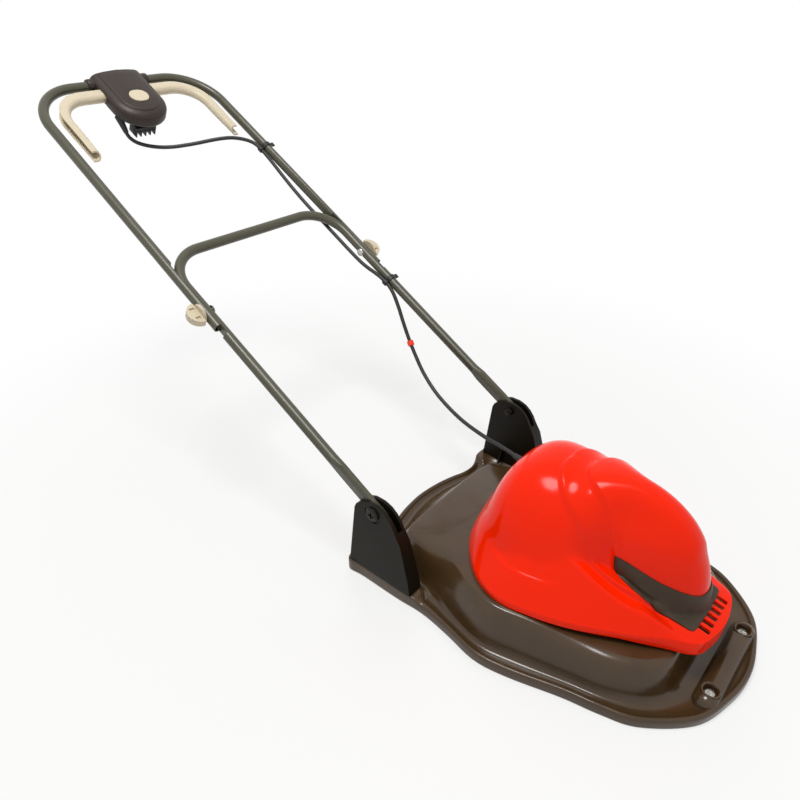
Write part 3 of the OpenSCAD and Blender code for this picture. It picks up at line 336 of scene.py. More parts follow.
NOISE_LOW = 0.3
NOISE_HIGH = 0.7
RIDGE_LOW = 0.53
RIDGE_HIGH = 0.6
WORN_SHARE = 2.2


def moulded(name, tint, rough, grain, depth, ior=1.53, metal=0.0, specular=0.5, cloud=90,
            spread=0.12, worn=0.0, gloss_spread=0.08, stretch=None, detail=2.0, strength=0.6):
    """Finish with grain of a width and depth in mm, cloudy colour and gloss, and paler worn edges.

    A stretch along the axes draws the grain out to lines.
    """
    made = bpy.data.materials.new(name)
    tree = fresh_tree(made)
    place = add(tree, "ShaderNodeTexCoord").outputs["Object"]
    clouds = add(tree, "ShaderNodeTexNoise", {
        "Vector": place, "Scale": per_mm(cloud), "Detail": 5.0, "Roughness": 0.6})
    cloudy = {"Value": clouds.outputs["Fac"], "From Min": NOISE_LOW, "From Max": NOISE_HIGH}
    patch = add(tree, "ShaderNodeMapRange", cloudy)
    shares = (1 - spread, 1 + spread, WORN_SHARE)
    dark, light, pale = ((*(min(1.0, c * share) for c in tint), 1) for share in shares)
    toned = add(tree, "ShaderNodeMix", {"Factor": patch.outputs[0], 6: dark, 7: light},
                data_type="RGBA")
    base = toned.outputs[2]
    if worn:
        shape = add(tree, "ShaderNodeNewGeometry")
        ridge = add(tree, "ShaderNodeMapRange", {
            "Value": shape.outputs["Pointiness"], "From Min": RIDGE_LOW, "From Max": RIDGE_HIGH,
            "To Max": worn})
        edge = add(tree, "ShaderNodeMix", {"Factor": ridge.outputs[0], 6: base, 7: pale},
                   data_type="RGBA")
        base = edge.outputs[2]
    shine = add(tree, "ShaderNodeMapRange", {
        **cloudy, "To Min": rough * (1 - gloss_spread), "To Max": rough * (1 + gloss_spread)})
    if stretch:
        place = add(tree, "ShaderNodeMapping", {"Vector": place, "Scale": stretch}).outputs[0]
    fine = add(tree, "ShaderNodeTexNoise", {
        "Vector": place, "Scale": per_mm(grain), "Detail": detail})
    bump = add(tree, "ShaderNodeBump", {
        "Height": fine.outputs["Fac"], "Distance": depth * MM, "Strength": strength})
    skin = add(tree, "ShaderNodeBsdfPrincipled", {
        "Base Color": base, "Roughness": shine.outputs[0], "Normal": bump.outputs[0],
        "Metallic": metal, "IOR": ior, "Specular IOR Level": specular})
    add(tree, "ShaderNodeOutputMaterial", {"Surface": skin.outputs[0]})
    return made


def turned(name, tint, rough, line, stretch):
    """Bright metal with fine lines of a real spacing in mm, drawn out along one axis"""
    return moulded(name, tint, rough, line, 0.03, ior=1.5, metal=1.0, spread=0.06, stretch=stretch,
                   detail=3.0, strength=0.5)


FINISHES = {}


def finishes():
    """All finishes of the mower, made once"""
    if FINISHES:
        return FINISHES
    c = bpy.context.scene.mower_colours
    FINISHES.update(
        # Injection-moulded ABS from a polished tool: deep gloss with a faint flow pattern and scuffs
        hood=moulded("glossy brown ABS", c.hood, 0.2, 16, 0.03, specular=0.42, cloud=45, spread=0.12,
                     gloss_spread=0.3, worn=0.2),
        # Glass-filled nylon from a satin tool: an even grain, coarser than the real 0.4 mm to show
        bracket=moulded("satin grey nylon", c.bracket, 0.4, 3, 0.02, specular=0.12, cloud=30, worn=0.2),
        # Injection-moulded ABS from a mirror-polished tool: saturated colour under a clear gloss
        cover=moulded("glossy red ABS", c.cover, 0.15, 16, 0.02, specular=0.12, cloud=120,
                      spread=0.03, gloss_spread=0.2),
        # Polypropylene from a textured tool: a matte leather grain, coarser than the real 0.5 mm
        trim=moulded("matte grey polypropylene", c.trim, 0.55, 2.5, 0.03, specular=0.3, cloud=25),
        # Powder-coated steel tube: satin with a slight orange peel
        tube=moulded("olive powder-coated steel", c.tube, 0.34, 3.5, 0.015, specular=0.45, cloud=60,
                     spread=0.08, worn=0.1),
        # Unfilled nylon, satin cream with a soft even gloss
        cream=moulded("satin cream nylon", c.cream, 0.38, 6, 0.01, specular=0.4, cloud=35, spread=0.03),
        # Polypropylene from a spark-eroded tool: a matte grain, coarser than the real 0.4 mm
        box=moulded("grained brown polypropylene", c.box, 0.45, 2.5, 0.025, specular=0.35, cloud=30,
                    worn=0.1),
        # PVC cord sheath: dull black with slight drag marks
        cord=moulded("black PVC sheath", c.cord, 0.48, 3, 0.02, specular=0.4, cloud=14, spread=0.15),
        # Soft PVC and rubber mouldings: dull black
        rubber=moulded("black rubber", linear("#171716"), 0.62, 0.9, 0.06, cloud=14),
        # Black polypropylene clips and fins: a dull sheen
        black=moulded("black polypropylene", linear("#151412"), 0.45, 3, 0.02, specular=0.35, cloud=20),
        # Polypropylene clip: bright orange with a soft sheen
        marker=moulded("orange polypropylene", c.marker, 0.4, 0.9, 0.04, cloud=12, spread=0.05),
        # Zinc-plated screws: bright with faint turning marks
        screw=turned("zinc-plated steel", linear("#B9B8B2"), 0.28, 0.6, (1, 1, 6)),
        # Blackened bolts: dark with a soft sheen and paler edges
        bolt=moulded("blackened steel", linear("#1B1913"), 0.42, 3, 0.02, specular=0.2, cloud=8,
                     worn=0.3),
        # Ground sheet steel: lines across the blade from the grinding belt
        blade=turned("ground sheet steel", linear("#A8A8A6"), 0.3, 0.8, (8, 1, 1)),
        # Die-cast aluminium: grey with a slight skin
        casting=moulded("die-cast aluminium", linear("#9A9A98"), 0.45, 1.2, 0.08, metal=1.0, ior=1.5),
        # Stacked laminations: fine level lines
        core=turned("laminated core steel", linear("#5E6064"), 0.45, 0.9, (1, 1, 30)),
        # Enamelled copper wire: fine lines run round the turns
        copper=turned("enamelled copper wire", linear("#B46A33"), 0.32, 0.9, (1, 1, 20)),
        # Black nylon fan: satin
        fan=moulded("black nylon", linear("#1F1E1A"), 0.42, 0.9, 0.05, cloud=25),
        # Red nylon spacers: satin
        spacer=moulded("red nylon", linear("#C8200A"), 0.45, 0.9, 0.04, cloud=25),
        # Dark thermoset holders, dull carbon brushes and pale satin nylon blocks
        holder=moulded("brown thermoset", linear("#3A281C"), 0.5, 0.9, 0.04, cloud=12),
        carbon=moulded("sintered carbon", linear("#141414"), 0.7, 0.7, 0.05, cloud=6),
        nylon=moulded("pale nylon", linear("#D8D2C0"), 0.45, 0.9, 0.03, cloud=12),
    )
    return FINISHES


# Hood: the curves from the front apex round the left side to the rear apex, in mm

RIM = [
    (0, -284), (46, -277.5), (100, -257), (146, -206), (161, -163), (171, -116), (190, -50),
    (197, -3), (188, 48), (182, 95), (184, 140), (184, 205), (184, 236), (150, 240), (122, 231),
    (98, 232), (75, 240), (42, 248), (0, 252),
]
BEAD = [
    (0, -268), (42, -262), (90, -242.5), (132, -198), (146, -158), (156, -113), (175, -48),
    (181.5, -2), (173, 46), (160, 98), (157, 140), (157, 190), (153, 208), (140, 217), (118, 217),
    (94, 218), (70, 224), (39, 232), (0, 236.5),
]
FOOT = [
    (0, -219, 10), (50, -219, 10), (90, -215, 10), (119, -194, 10), (138, -158, 10),
    (149, -112, 10), (165, -48, 11), (174, 0, 11), (166, 46, 11), (150, 95, 12), (140, 140, 13),
    (130, 180, 14), (124, 198, 14), (114, 207, 14), (97, 208, 14), (80, 212, 14), (58, 217, 14),
    (30, 223, 14), (0, 225, 14),
]
SHOULDER = [
    (0, -205, 52), (46, -205, 52), (80, -203, 52), (103, -186, 54), (121, -152, 55),
    (132, -110, 54), (149, -47, 58), (159, 0, 61), (152, 43, 60), (134, 86, 58), (124, 130, 53),
    (115, 165, 50), (109, 180, 49), (103, 187, 48), (90, 190, 48), (72, 191, 48), (52, 192, 48),
    (26, 192, 48), (0, 192, 48),
]
SEAT = [
    (0, -196, 54), (44, -196, 54), (74, -192, 54), (94, -176, 55), (110, -146, 56), (124, -106, 57),
    (142, -46, 64), (152, 0, 66), (145, 42, 66), (127, 76, 66), (110, 97, 65), (98, 108, 64),
    (86, 114, 63.5), (73, 118, 63), (60, 120, 63), (46, 121, 63), (32, 121.5, 63), (16, 122, 63),
    (0, 122, 63),
]
WALL = 3
SEAT_Z = 66
INLET_R = 72
LEDGE_Y = 108
LEDGE_X = 143
CRISP_FROM = 135
CRISP_TO = 178
# Rim, out and over: share of the way in to the bead and height, then both on the brackets' ledges
ROLL_OVER = [
    (0, 0, 0, 0), (0, 0.8, 0, 0.8), (0, 9, 0, 12), (0.025, 12.5, 0, 18.5),
    (0.125, 14.6, 0.02, 19.8), (0.25, 15, 0.1, 20), (0.39, 14.4, 0.5, 20), (0.5, 12.2, 0.93, 20),
    (0.6, 9, 1, 14),
]
# Rim, back down inside, in the same way
ROLL_BACK = [
    (0.46, 8, 0.92, 11), (0.37, 11, 0.85, 17), (0.26, 12.4, 0.5, 17), (0.18, 11.4, 0.24, 16.5),
    (0.14, 8, 0.14, 13), (0.14, 0.8, 0.14, 0.8), (0.14, 0, 0.14, 0),
]
# Flank: shares of the way and of the height from foot to shoulder, then both at the crisp rear edge
FLANK_ROWS = [
    (0.28, 0.4, 0.28, 0.32), (0.58, 0.75, 0.6, 0.64), (0.8, 0.91, 0.9, 0.91),
    (0.93, 0.97, 0.975, 0.978),
]
# Crest: share of the way from shoulder to seat, the same at the crisp rear edge, and a lift
CREST_ROWS = [(0.2, 0, 0.2), (0.45, 0.03, 0.7), (0.72, 0.5, 0.9)]
GUTTER_SHARE = 0.55
GUTTER_DROP = 2.5
PLATE_R = 120


def hood_rings(steps):
    """Rings of the hood's skin, over the top from the rim to the air inlet and back underneath"""
    halves = (RIM, BEAD, FOOT, SHOULDER, SEAT)
    rim, bead, foot, shoulder, seat = (smooth_loop(mirrored(half), steps) for half in halves)
    count = range(len(rim))

    def ledge(i):
        return rim[i].y > LEDGE_Y and abs(rim[i].x) > LEDGE_X

    def roll(share, z, ledge_share, ledge_z):
        ring = []
        for i in count:
            p = rim[i].lerp(bead[i], ledge_share if ledge(i) else share)
            ring.append(Vector((p.x, p.y, ledge_z if ledge(i) else z)))
        return ring

    def lifted(ring, dz):
        return [p + Vector((0, 0, dz)) for p in ring]

    def crisp(p):
        """1 at the crisp edge of the rear panel, 0 along the round flanks"""
        return step_up(CRISP_FROM, CRISP_TO, p.y)

    def flank(share, rise, crisp_share, crisp_rise):
        """Ring on the way up from the foot to the shoulder"""
        ring = []
        for p, q in zip(foot, shoulder):
            m = p.lerp(q, share + (crisp_share - share) * crisp(q))
            m.z = p.z + (q.z - p.z) * (rise + (crisp_rise - rise) * crisp(q))
            ring.append(m)
        return ring

    def crest(share, crisp_share, lift):
        """Ring on the way in from the shoulder to the seat"""
        ring = []
        for p, q in zip(shoulder, seat):
            m = p.lerp(q, share + (crisp_share - share) * crisp(p))
            m.z += lift * (1 - crisp(p))
            ring.append(m)
        return ring

    def round_ring(ring, r, z):
        return [Vector((p.x, p.y, 0)).normalized() * r + Vector((0, 0, z)) for p in ring]

    over = [roll(*row) for row in ROLL_OVER]
    gutter = lifted([p.lerp(q, GUTTER_SHARE) for p, q in zip(over[-1], foot)], -GUTTER_DROP)
    sides = [gutter, foot, *(flank(*row) for row in FLANK_ROWS), *(crest(*row) for row in CREST_ROWS)]
    plate = [round_ring(seat, PLATE_R, SEAT_Z), round_ring(seat, INLET_R, SEAT_Z)]
    under = [lifted(ring, -WALL) for ring in reversed(plate)]
    for ring in reversed(sides + [seat]):
        under.append(lifted([p + inward(ring, i) * WALL for i, p in enumerate(ring)], -WALL))
    return over + sides + [seat] + plate + under + [roll(*row) for row in ROLL_BACK]


BUMP_Y = 254
BUMP_R = 17
BUMP_RISE = 17.5
BUMP_HALF = 66
BUMP_Z = 5
ON_SEAM = 0.01
WELL_X = 59
# Profiles of radius and height
WELL = [(0, 13), (8, 13), (9, 14), (9, 40), (0, 40)]
WELL_LIP = [
    (12, 17), (11.8, 22.2), (11.2, 22.9), (9.8, 22.9), (9, 22.2), (8.8, 13.4), (12, 13.4), (12, 17),
]


def bump_bmesh():
    """Front bump: the upper half of a long capsule"""
    bm = bmesh.new()
    turn = Matrix.Rotation(math.pi / 2, 4, "Y")
    bmesh.ops.create_uvsphere(bm, u_segments=64, v_segments=32, radius=BUMP_R, matrix=turn)
    ring = [e for e in bm.edges if all(abs(v.co.x) < ON_SEAM for v in e.verts)]
    bmesh.ops.split_edges(bm, edges=ring)
    bm.verts.ensure_lookup_table()
    for s in (-1, 1):
        half = {v for f in bm.faces if f.calc_center_median().x * s > 0 for v in f.verts}
        bmesh.ops.translate(bm, verts=list(half), vec=(s * BUMP_HALF, 0, 0))
    ends = [e for e in bm.edges if e.is_boundary]
    bmesh.ops.bridge_loops(bm, edges=ends)
    cut = bmesh.ops.bisect_plane(bm, geom=bm.verts[:] + bm.edges[:] + bm.faces[:], plane_co=(0, 0, 0),
                                 plane_no=(0, 0, -1), clear_outer=True)["geom_cut"]
    bmesh.ops.edgenet_fill(bm, edges=[e for e in cut if isinstance(e, bmesh.types.BMEdge)])
    bmesh.ops.scale(bm, vec=(1, 1, BUMP_RISE / BUMP_R), verts=bm.verts)
    bmesh.ops.translate(bm, verts=bm.verts, vec=(0, -BUMP_Y, BUMP_Z))
    return to_metres(tidy(bm))


class MOWER_OT_hood(bpy.types.Operator):
    """Hood with its rolled rim, front bump and screw wells"""
    bl_idname = "mower.hood"
    bl_label = "Hood"

    def execute(self, context):
        f = finishes()
        rings = hood_rings(context.scene.mower_sizes.hood_steps)
        bm, _ = loft(rings + [rings[0]])
        hood = make("hood", to_metres(tidy(bm)), f["hood"], ["deck"], smooth=75)
        finer = hood.modifiers.new("Finer", "SUBSURF")
        finer.levels = finer.render_levels = 1
        bump = make("front_bump", bump_bmesh(), f["hood"], ["deck"])
        for side, s in (("right", -1), ("left", 1)):
            well, lip = lathe(WELL), lathe(WELL_LIP)
            for bm in (well, lip):
                bmesh.ops.translate(bm, verts=bm.verts, vec=(s * WELL_X, -BUMP_Y, 0))
            carve(bump, to_metres(well))
            make("well_lip_" + side, to_metres(lip), f["hood"], ["deck"])
        dress("front_screws", f["screw"], 0.0003, sharp=40)
        return {"FINISHED"}


# Motor cover: the base curve from the nose round the left side to the tail, in mm

COVER = [
    (0, -238), (30, -234), (53, -224), (69, -194), (94, -154), (125, -92), (141, -42), (147, 0),
    (133, 42), (101, 78), (62, 100), (0, 112),
]
COVER_LOOP = mirrored(COVER)
# Shares of the way out at which the cover has its rings, closer together at the rolled edge
COVER_SHARES = [1, 0.9985, 0.994, 0.986, 0.976, 0.964, 0.95, *(0.935 - 0.0155 * j for j in range(59))]
COVER_MID = Vector((0, -8, 0))
COVER_Z = 66.3
LIP = 10
NOSE_DROP = 10
SKIRT_POWER = 0.8
SKIRT_SHARE = 0.82
SKIRT_RISE = 18
SKIRT_LIFT = 48
SKIRT_FROM = -70
SKIRT_RUN = 160
LEDGE_RISE = 100
LEDGE_SHARE = 0.2
# Height of the flank's crease along the cover's length
FLANK_TOP = [
    (-240, 86), (-203, 91), (-178, 96), (-156, 103), (-113, 124), (-62, 143), (0, 152), (42, 146),
    (120, 140),
]
FLANK_SLOPE = 1.15
LEDGE_SLOPE = 0.25
CREASE_RANGE = (24, 30)
CREASE_STEP = 3
CREASE_BLEND = 4
# Domes and raised fields: middle, half width, length back and front, and the power of the curve
REAR_DOME = (12, 111, 83, 114, 2.3)
FRONT_DOME = (-75, 50, 119, 136, 2.4)
COLLAR = (-80, 66, 78, 110, 2.6)
CROWN = (-115, 46, 82, 98, 2.4)
RAISED_OUT = 1.03
RAISED_IN = 0.96
RAISED_FADE = 6
DOME_FALL = 40
REAR_LOW = SEAT_Z + 4
REAR_TOP = 215
REAR_BLEND = 12
FRONT_LOW = SEAT_Z + 10
FRONT_TOP = 215
FRONT_BLEND = 10
FRONT_WIDER = 45
COLLAR_RISE = 7
CROWN_RISE = 6
STEP_OUT = 3
STEP_MID = -95
# Ranges over which one form passes into the next, along Y, and for STEP_TOP up Z
TAIL_FADE = (30, 75)
NOSE_FADE = (-180, -215)
BASE_FADE = (-140, -212)
CREASE_FADE = (-90, -40)
WIDER_FADE = (-110, -40)
NARROW_FADE = (-185, -140)
STEP_FADE = (-180, -130)
STEP_TOP = (200, 165)
# Steps along and out for a normal, and shares of the way out between which a height is looked for
NORMAL_ALONG = 0.5
NORMAL_OUT = 0.01
SEARCH_RANGE = (0.3, 0.985)
SEARCH_TURNS = 20
COVER_WALL = 3
CAD_STEPS = 4
TRIM_LOW = [
    (0, 81.3), (3.8, 80.6), (6.6, 80.1), (7.2, 80.6), (8.35, 83.4), (9.8, 86), (10.8, 90),
    (11.1, 96), (12.4, 105), (14, 116),
]
TRIM_HIGH = [(0, 113), (2.8, 114), (5.4, 119), (8.4, 126), (11.5, 137), (12.6, 140), (14, 142)]
TRIM_SPAN = 14
TRIM_STEP = 0.25
TRIM_ACROSS = 12
TRIM_RISE = 2.5
TRIM_GAP = 0.15
TRIM_END = 0.6
TRIM_EDGE = 1 / 9
TRIM_LEAST = 0.25


def egg(x, y, mid, half_w, back, front, p):
    """Egg-shaped measure of the way from the middle of a dome, 1 at its edge"""
    return (abs(x) / half_w) ** p + (abs(y - mid) / (back if y > mid else front)) ** p


def dome(e, low, top):
    return low + (top - low) * math.sqrt(max(0.0, 1 - e)) - DOME_FALL * max(0.0, e - 1)


def curve_at(table, v):
    """Value of a smooth curve through the rows of a table"""
    def slope(j):
        (a, p), (b, q) = table[max(j - 1, 0)], table[min(j + 1, len(table) - 1)]
        return (q - p) / (b - a)

    j = max(i for i in range(len(table) - 1) if i == 0 or table[i][0] <= v)
    (a, p), (b, q) = table[j], table[j + 1]
    t = (v - a) / (b - a)
    ease = t * t * (3 - 2 * t)
    bend = (b - a) * (slope(j) * t * (1 - t) ** 2 - slope(j + 1) * t * t * (1 - t))
    return p + (q - p) * ease + bend


def flank_height(k, edge):
    """Height of the cover's flank, up to a crease and over a ledge, with a faint crease half way"""
    d = (1 - k) * (edge - COVER_MID).length
    top = curve_at(FLANK_TOP, edge.y)
    faint = CREASE_STEP * step_up(*CREASE_RANGE, d) * step_up(*CREASE_FADE, edge.y)
    flank = COVER_Z + LIP + FLANK_SLOPE * d - faint
    ledge = top + (flank - top) * LEDGE_SLOPE / FLANK_SLOPE
    return -soft_max(-flank, -ledge, CREASE_BLEND)


def raised(x, y, k):
    """How far a place is on the collar and on the crown, each from 0 to 1"""
    away = (egg(x, y, *field) ** (1 / field[-1]) for field in (COLLAR, CROWN))
    return [step_up(RAISED_OUT, RAISED_IN, e) * limit((1 - k) * RAISED_FADE) for e in away]


def cover_height(x, y, k, edge):
    """Height of the cover: a skirt with a creased flank, two domes, a collar and a raised crown"""
    lift = SKIRT_LIFT * limit((edge.y - SKIRT_FROM) / SKIRT_RUN)
    shoulder = SEAT_Z + SKIRT_RISE + lift
    t = min(1.0, (1 - k) / (1 - SKIRT_SHARE))
    ledge = LEDGE_RISE * min(LEDGE_SHARE, max(0.0, SKIRT_SHARE - k))
    skirt = COVER_Z + LIP + (shoulder - COVER_Z - LIP) * t ** SKIRT_POWER + ledge
    ends = max(step_up(*TAIL_FADE, edge.y), step_up(*NOSE_FADE, edge.y))
    skirt += (flank_height(k, edge) - skirt) * (1 - ends)
    rear = dome(egg(x, y, *REAR_DOME), REAR_LOW, REAR_TOP)
    mid, half_w, *rest = FRONT_DOME
    half_w = half_w - STEP_OUT * step_up(*NARROW_FADE, y) + FRONT_WIDER * step_up(*WIDER_FADE, y)
    front = dome(egg(x, y, mid, half_w, *rest), FRONT_LOW, FRONT_TOP)
    collar, crown = raised(x, y, k)
    plain = soft_max(soft_max(skirt, rear, REAR_BLEND), front, FRONT_BLEND)
    return plain + COLLAR_RISE * collar + CROWN_RISE * crown


def cover_point(i, k):
    """Point on the cover: i counts quarter steps along its base, k is the share of the way out"""
    c = math.floor(i / CAD_STEPS)
    around = (COVER_LOOP[(c + j) % len(COVER_LOOP)] for j in (-1, 0, 1, 2))
    edge = spline(*around, i / CAD_STEPS - c)
    p = COVER_MID.lerp(edge, k)
    out = Vector((p.x, (p.y - STEP_MID) / 2, 0)).normalized() * STEP_OUT * sum(raised(p.x, p.y, k))
    p.z = COVER_Z + LIP if k == 1 else cover_height(p.x, p.y, k, edge)
    return p + out * step_up(*STEP_TOP, p.z) * step_up(*STEP_FADE, p.y)


def cover_normal(i, k):
    """Unit vector out of the cover"""
    across = cover_point(i + NORMAL_ALONG, k) - cover_point(i - NORMAL_ALONG, k)
    up = cover_point(i, k - NORMAL_OUT) - cover_point(i, k + NORMAL_OUT)
    return across.cross(up).normalized()


def share_at(i, z):
    """Share of the way to the edge at which the cover has come down to a height"""
    near, far = SEARCH_RANGE
    for _ in range(SEARCH_TURNS):
        k = (near + far) / 2
        if cover_point(i, k).z > z:
            near = k
        else:
            far = k
    return near


def base_at(y):
    """Height of the cover's lower edge, which comes down over the front of the hood"""
    return COVER_Z - NOSE_DROP * step_up(*BASE_FADE, y)


SLOT_COUNT = 6
SLOT_PITCH = 12
SLOT_W = 6.5
SLOT_LEN = 15
SLOT_ROUND = 1.6
CUT_DEPTH = 40
SLOT_BACK = 17
SLOT_UP = 24
COVER_NOSE = 238
GLAND_AT = (60.05, 84.05, 121)
GLAND_TURN = math.radians(-13)
GLAND_R = 8.3


class MOWER_OT_cover(bpy.types.Operator):
    """Domed motor cover with its cooling slots, and the trim band round its nose"""
    bl_idname = "mower.cover"
    bl_label = "Motor cover"

    def execute(self, context):
        f = finishes()
        steps = context.scene.mower_sizes.cover_steps
        places = [j * CAD_STEPS / steps for j in range(len(COVER_LOOP) * steps)]
        outer = [[cover_point(i, k) for i in places] for k in COVER_SHARES]
        base = [Vector((p.x, p.y, base_at(p.y))) for p in outer[0]]
        inset = [inward(base, j) * COVER_WALL for j in range(len(base))]
        inner = [[p + d * k - Vector((0, 0, 0 if k == 1 else COVER_WALL)) for p, d in zip(ring, inset)]
                 for ring, k in zip(outer, COVER_SHARES)]
        bm, last = loft(inner[::-1] + [[p + d for p, d in zip(base, inset)], base] + outer)
        for ring in ([v for v in bm.verts if v.index < len(base)], last):
            peak = sum((v.co for v in ring), Vector()) / len(ring)
            bmesh.ops.pointmerge(bm, verts=ring, merge_co=peak)
        cover = make("cover", to_metres(tidy(bm)), f["cover"], ["motor_cover"], smooth=60)
        cutter = bmesh.new()
        for j in range(SLOT_COUNT):
            x = (j - (SLOT_COUNT - 1) / 2) * SLOT_PITCH
            place = Matrix.Translation((x, SLOT_BACK - COVER_NOSE, COVER_Z + SLOT_UP))
            place @= Matrix.Diagonal((SLOT_W, SLOT_LEN, CUT_DEPTH, 1))
            bmesh.ops.create_cube(cutter, size=1, matrix=place)
        bmesh.ops.bevel(cutter, geom=cutter.edges[:], offset=SLOT_ROUND, offset_type="OFFSET",
                        affect="EDGES", segments=3, profile=0.5, material=-1)
        turn = Matrix.Rotation(GLAND_TURN, 4, "Z") @ Matrix.Rotation(math.pi / 2, 4, "X")
        bmesh.ops.create_cone(cutter, cap_ends=True, segments=48, radius1=GLAND_R, radius2=GLAND_R,
                              depth=CUT_DEPTH, matrix=Matrix.Translation(GLAND_AT) @ turn)
        carve(cover, to_metres(tidy(cutter)))
        self.trim(f)
        dress("cord_gland", f["rubber"], 0.0005)
        return {"FINISHED"}

    def trim(self, f):
        """Band that follows the cover, with rounded edges"""
        rings = []
        for j in range(round(2 * TRIM_SPAN / TRIM_STEP) + 1):
            i = j * TRIM_STEP - TRIM_SPAN
            low, high = (share_at(i, table_at(edge, abs(i))) for edge in (TRIM_LOW, TRIM_HIGH))
            end = min(1.0, (TRIM_SPAN - abs(i)) / TRIM_END + TRIM_LEAST)
            outer, inner = [], []
            for m in range(TRIM_ACROSS + 1):
                t = m / TRIM_ACROSS
                k = low + (high - low) * t
                normal = cover_normal(i, k)
                rise = TRIM_RISE * end * min(1.0, min(t, 1 - t) / TRIM_EDGE + TRIM_LEAST) ** 0.5
                outer.append(cover_point(i, k) + normal * rise)
                inner.append(cover_point(i, k) + normal * TRIM_GAP)
            rings.append(outer + inner[::-1])
        make("trim_band", to_metres(capped(rings)), f["trim"], ["cover_trim"], smooth=50)


class MOWER_OT_brackets(bpy.types.Operator):
    """Handle brackets with their pivot bolts and nuts"""
    bl_idname = "mower.brackets"
    bl_label = "Brackets"

    def execute(self, context):
        f = finishes()
        edge = context.scene.mower_sizes.edge
        for side in ("left", "right"):
            dress("bracket_" + side, f["bracket"], edge, 3)
        dress("pivot_bolts", f["bolt"], 0.0004, sharp=25)
        dress("pivot_nuts", f["bolt"], 0.0004)
        return {"FINISHED"}


class MOWER_OT_motor(bpy.types.Operator):
    """Pieces that the cover and the switch box hide: motor, screws, pins and switch"""
    bl_idname = "mower.motor"
    bl_label = "Motor"
    hidden = {"casting": ("motor_mount", "end_bracket"), "core": ("stator_core", "armature_core"),
              "copper": ("field_coils", "armature_winding", "commutator"),
              "holder": ("brush_holders",), "carbon": ("brushes",), "nylon": ("terminal_block",),
              "screw": ("lower_bearing", "upper_bearing", "rotor_shaft", "mount_screws",
                        "cover_screws", "lever_pins"), "black": ("microswitch",)}

    def execute(self, context):
        f = finishes()
        for finish, nodes in self.hidden.items():
            for shown in (frame["nodes"][node] for node in nodes):
                if not shown.material_slots:
                    shown.data.materials.append(f[finish])
                for slot in shown.material_slots:
                    slot.material = f[finish]
        return {"FINISHED"}


class MOWER_OT_blade(bpy.types.Operator):
    """Impeller, spacers, blade and its bolt under the hood"""
    bl_idname = "mower.blade"
    bl_label = "Blade"

    def execute(self, context):
        f = finishes()
        dress("impeller", f["fan"], 0.0004)
        dress("height_spacers", f["spacer"], 0.0004)
        dress("blade", f["blade"], 0.0002)
        dress("blade_washer", f["screw"], 0.0003)
        dress("blade_bolt", f["screw"], 0.0005)
        return {"FINISHED"}


class MOWER_OT_handles(bpy.types.Operator):
    """Lower and upper handle tubes with their bolts and wing knobs"""
    bl_idname = "mower.handles"
    bl_label = "Handles"

    def execute(self, context):
        f = finishes()
        for node in ("lower_handle", "upper_handle"):
            dress(node, f["tube"])
        dress("handle_bolts", f["screw"], 0.0003)
        for side in ("left", "right"):
            dress("knob_" + side, f["cream"], 0.0012, 3)
        return {"FINISHED"}


# Switch box and levers, on the handle: across, up from the pivot and out of its plane, in mm

PIVOT_M = Vector((0, 0.188, 0.127))
REST = math.radians(30.5)
HANDLE = Matrix.Translation(PIVOT_M) @ Matrix.Rotation(REST, 4, "X") @ Matrix.Scale(MM, 4)
LOOP_U = 891
CASE_MID_U = 829
CASE_END_U = 900
CASE_TOP = [(0, 20), (23, 18.5), (37, 16.4), (43, 13.6), (46.5, 10), (48, 6.4)]
BUTTON_R = 14.6
BUTTON_HALF = 3
LEVER_U = 859
LEVER_BEND = (84.35, 808)
LEVER_BEND_R = 51
LEVER_GRIP = 78
LEVER_R = 8
LEVER_WALL = 2.5
LEVER_START = 27
LIP_ARM = 12
LIP_GRIP = 8
ARM_STEPS = 6
BEND_STEPS = 24
GRIP_STEPS = 8
TIP_SLIM = 0.12
TIP_SLANT = 0.7
FIELD_POINTS = 96
FIELD_END = CASE_END_U - CASE_MID_U - 40
# Raised field of the case: half width, share of the way in to the button's hole, and rise
FIELD_ROWS = [
    (36, 0, -1.5), (35.6, 0, 0.3), (34.9, 0, 1.2), (34, 0, 1.5), (34, 0.15, 1.6), (34, 0.35, 1.6),
    (34, 0.6, 1.6), (34, 0.85, 1.6), (34, 0.96, 1.6), (34, 1, 1), (34, 1, -1.5),
]
SLEEVE = [(0, 0), (11.6, 0), (11.6, 10.5), (11, 12.6), (9.6, 13.8), (8.2, 14), (0, 14)]
SLEEVE_X = 44


def arc(radius, start, end, steps, mid=(0, 0)):
    """Points on an arc, its angles in degrees"""
    turns = [math.radians(start + (end - start) * k / steps) for k in range(steps + 1)]
    return [(mid[0] + radius * math.cos(a), mid[1] + radius * math.sin(a)) for a in turns]


def lever_profile(lip):
    """Channel with a round back and rounded lips: out to the tube, and out of the handle's plane"""
    edge = LEVER_WALL / 2
    inner = LEVER_R - LEVER_WALL
    low = arc(edge, -90, 90, 4, (lip - edge, edge - LEVER_R))
    high = arc(edge, -90, 90, 4, (lip - edge, LEVER_R - edge))
    return arc(LEVER_R, 90, 270, 16) + low + arc(inner, 270, 90, 12) + high


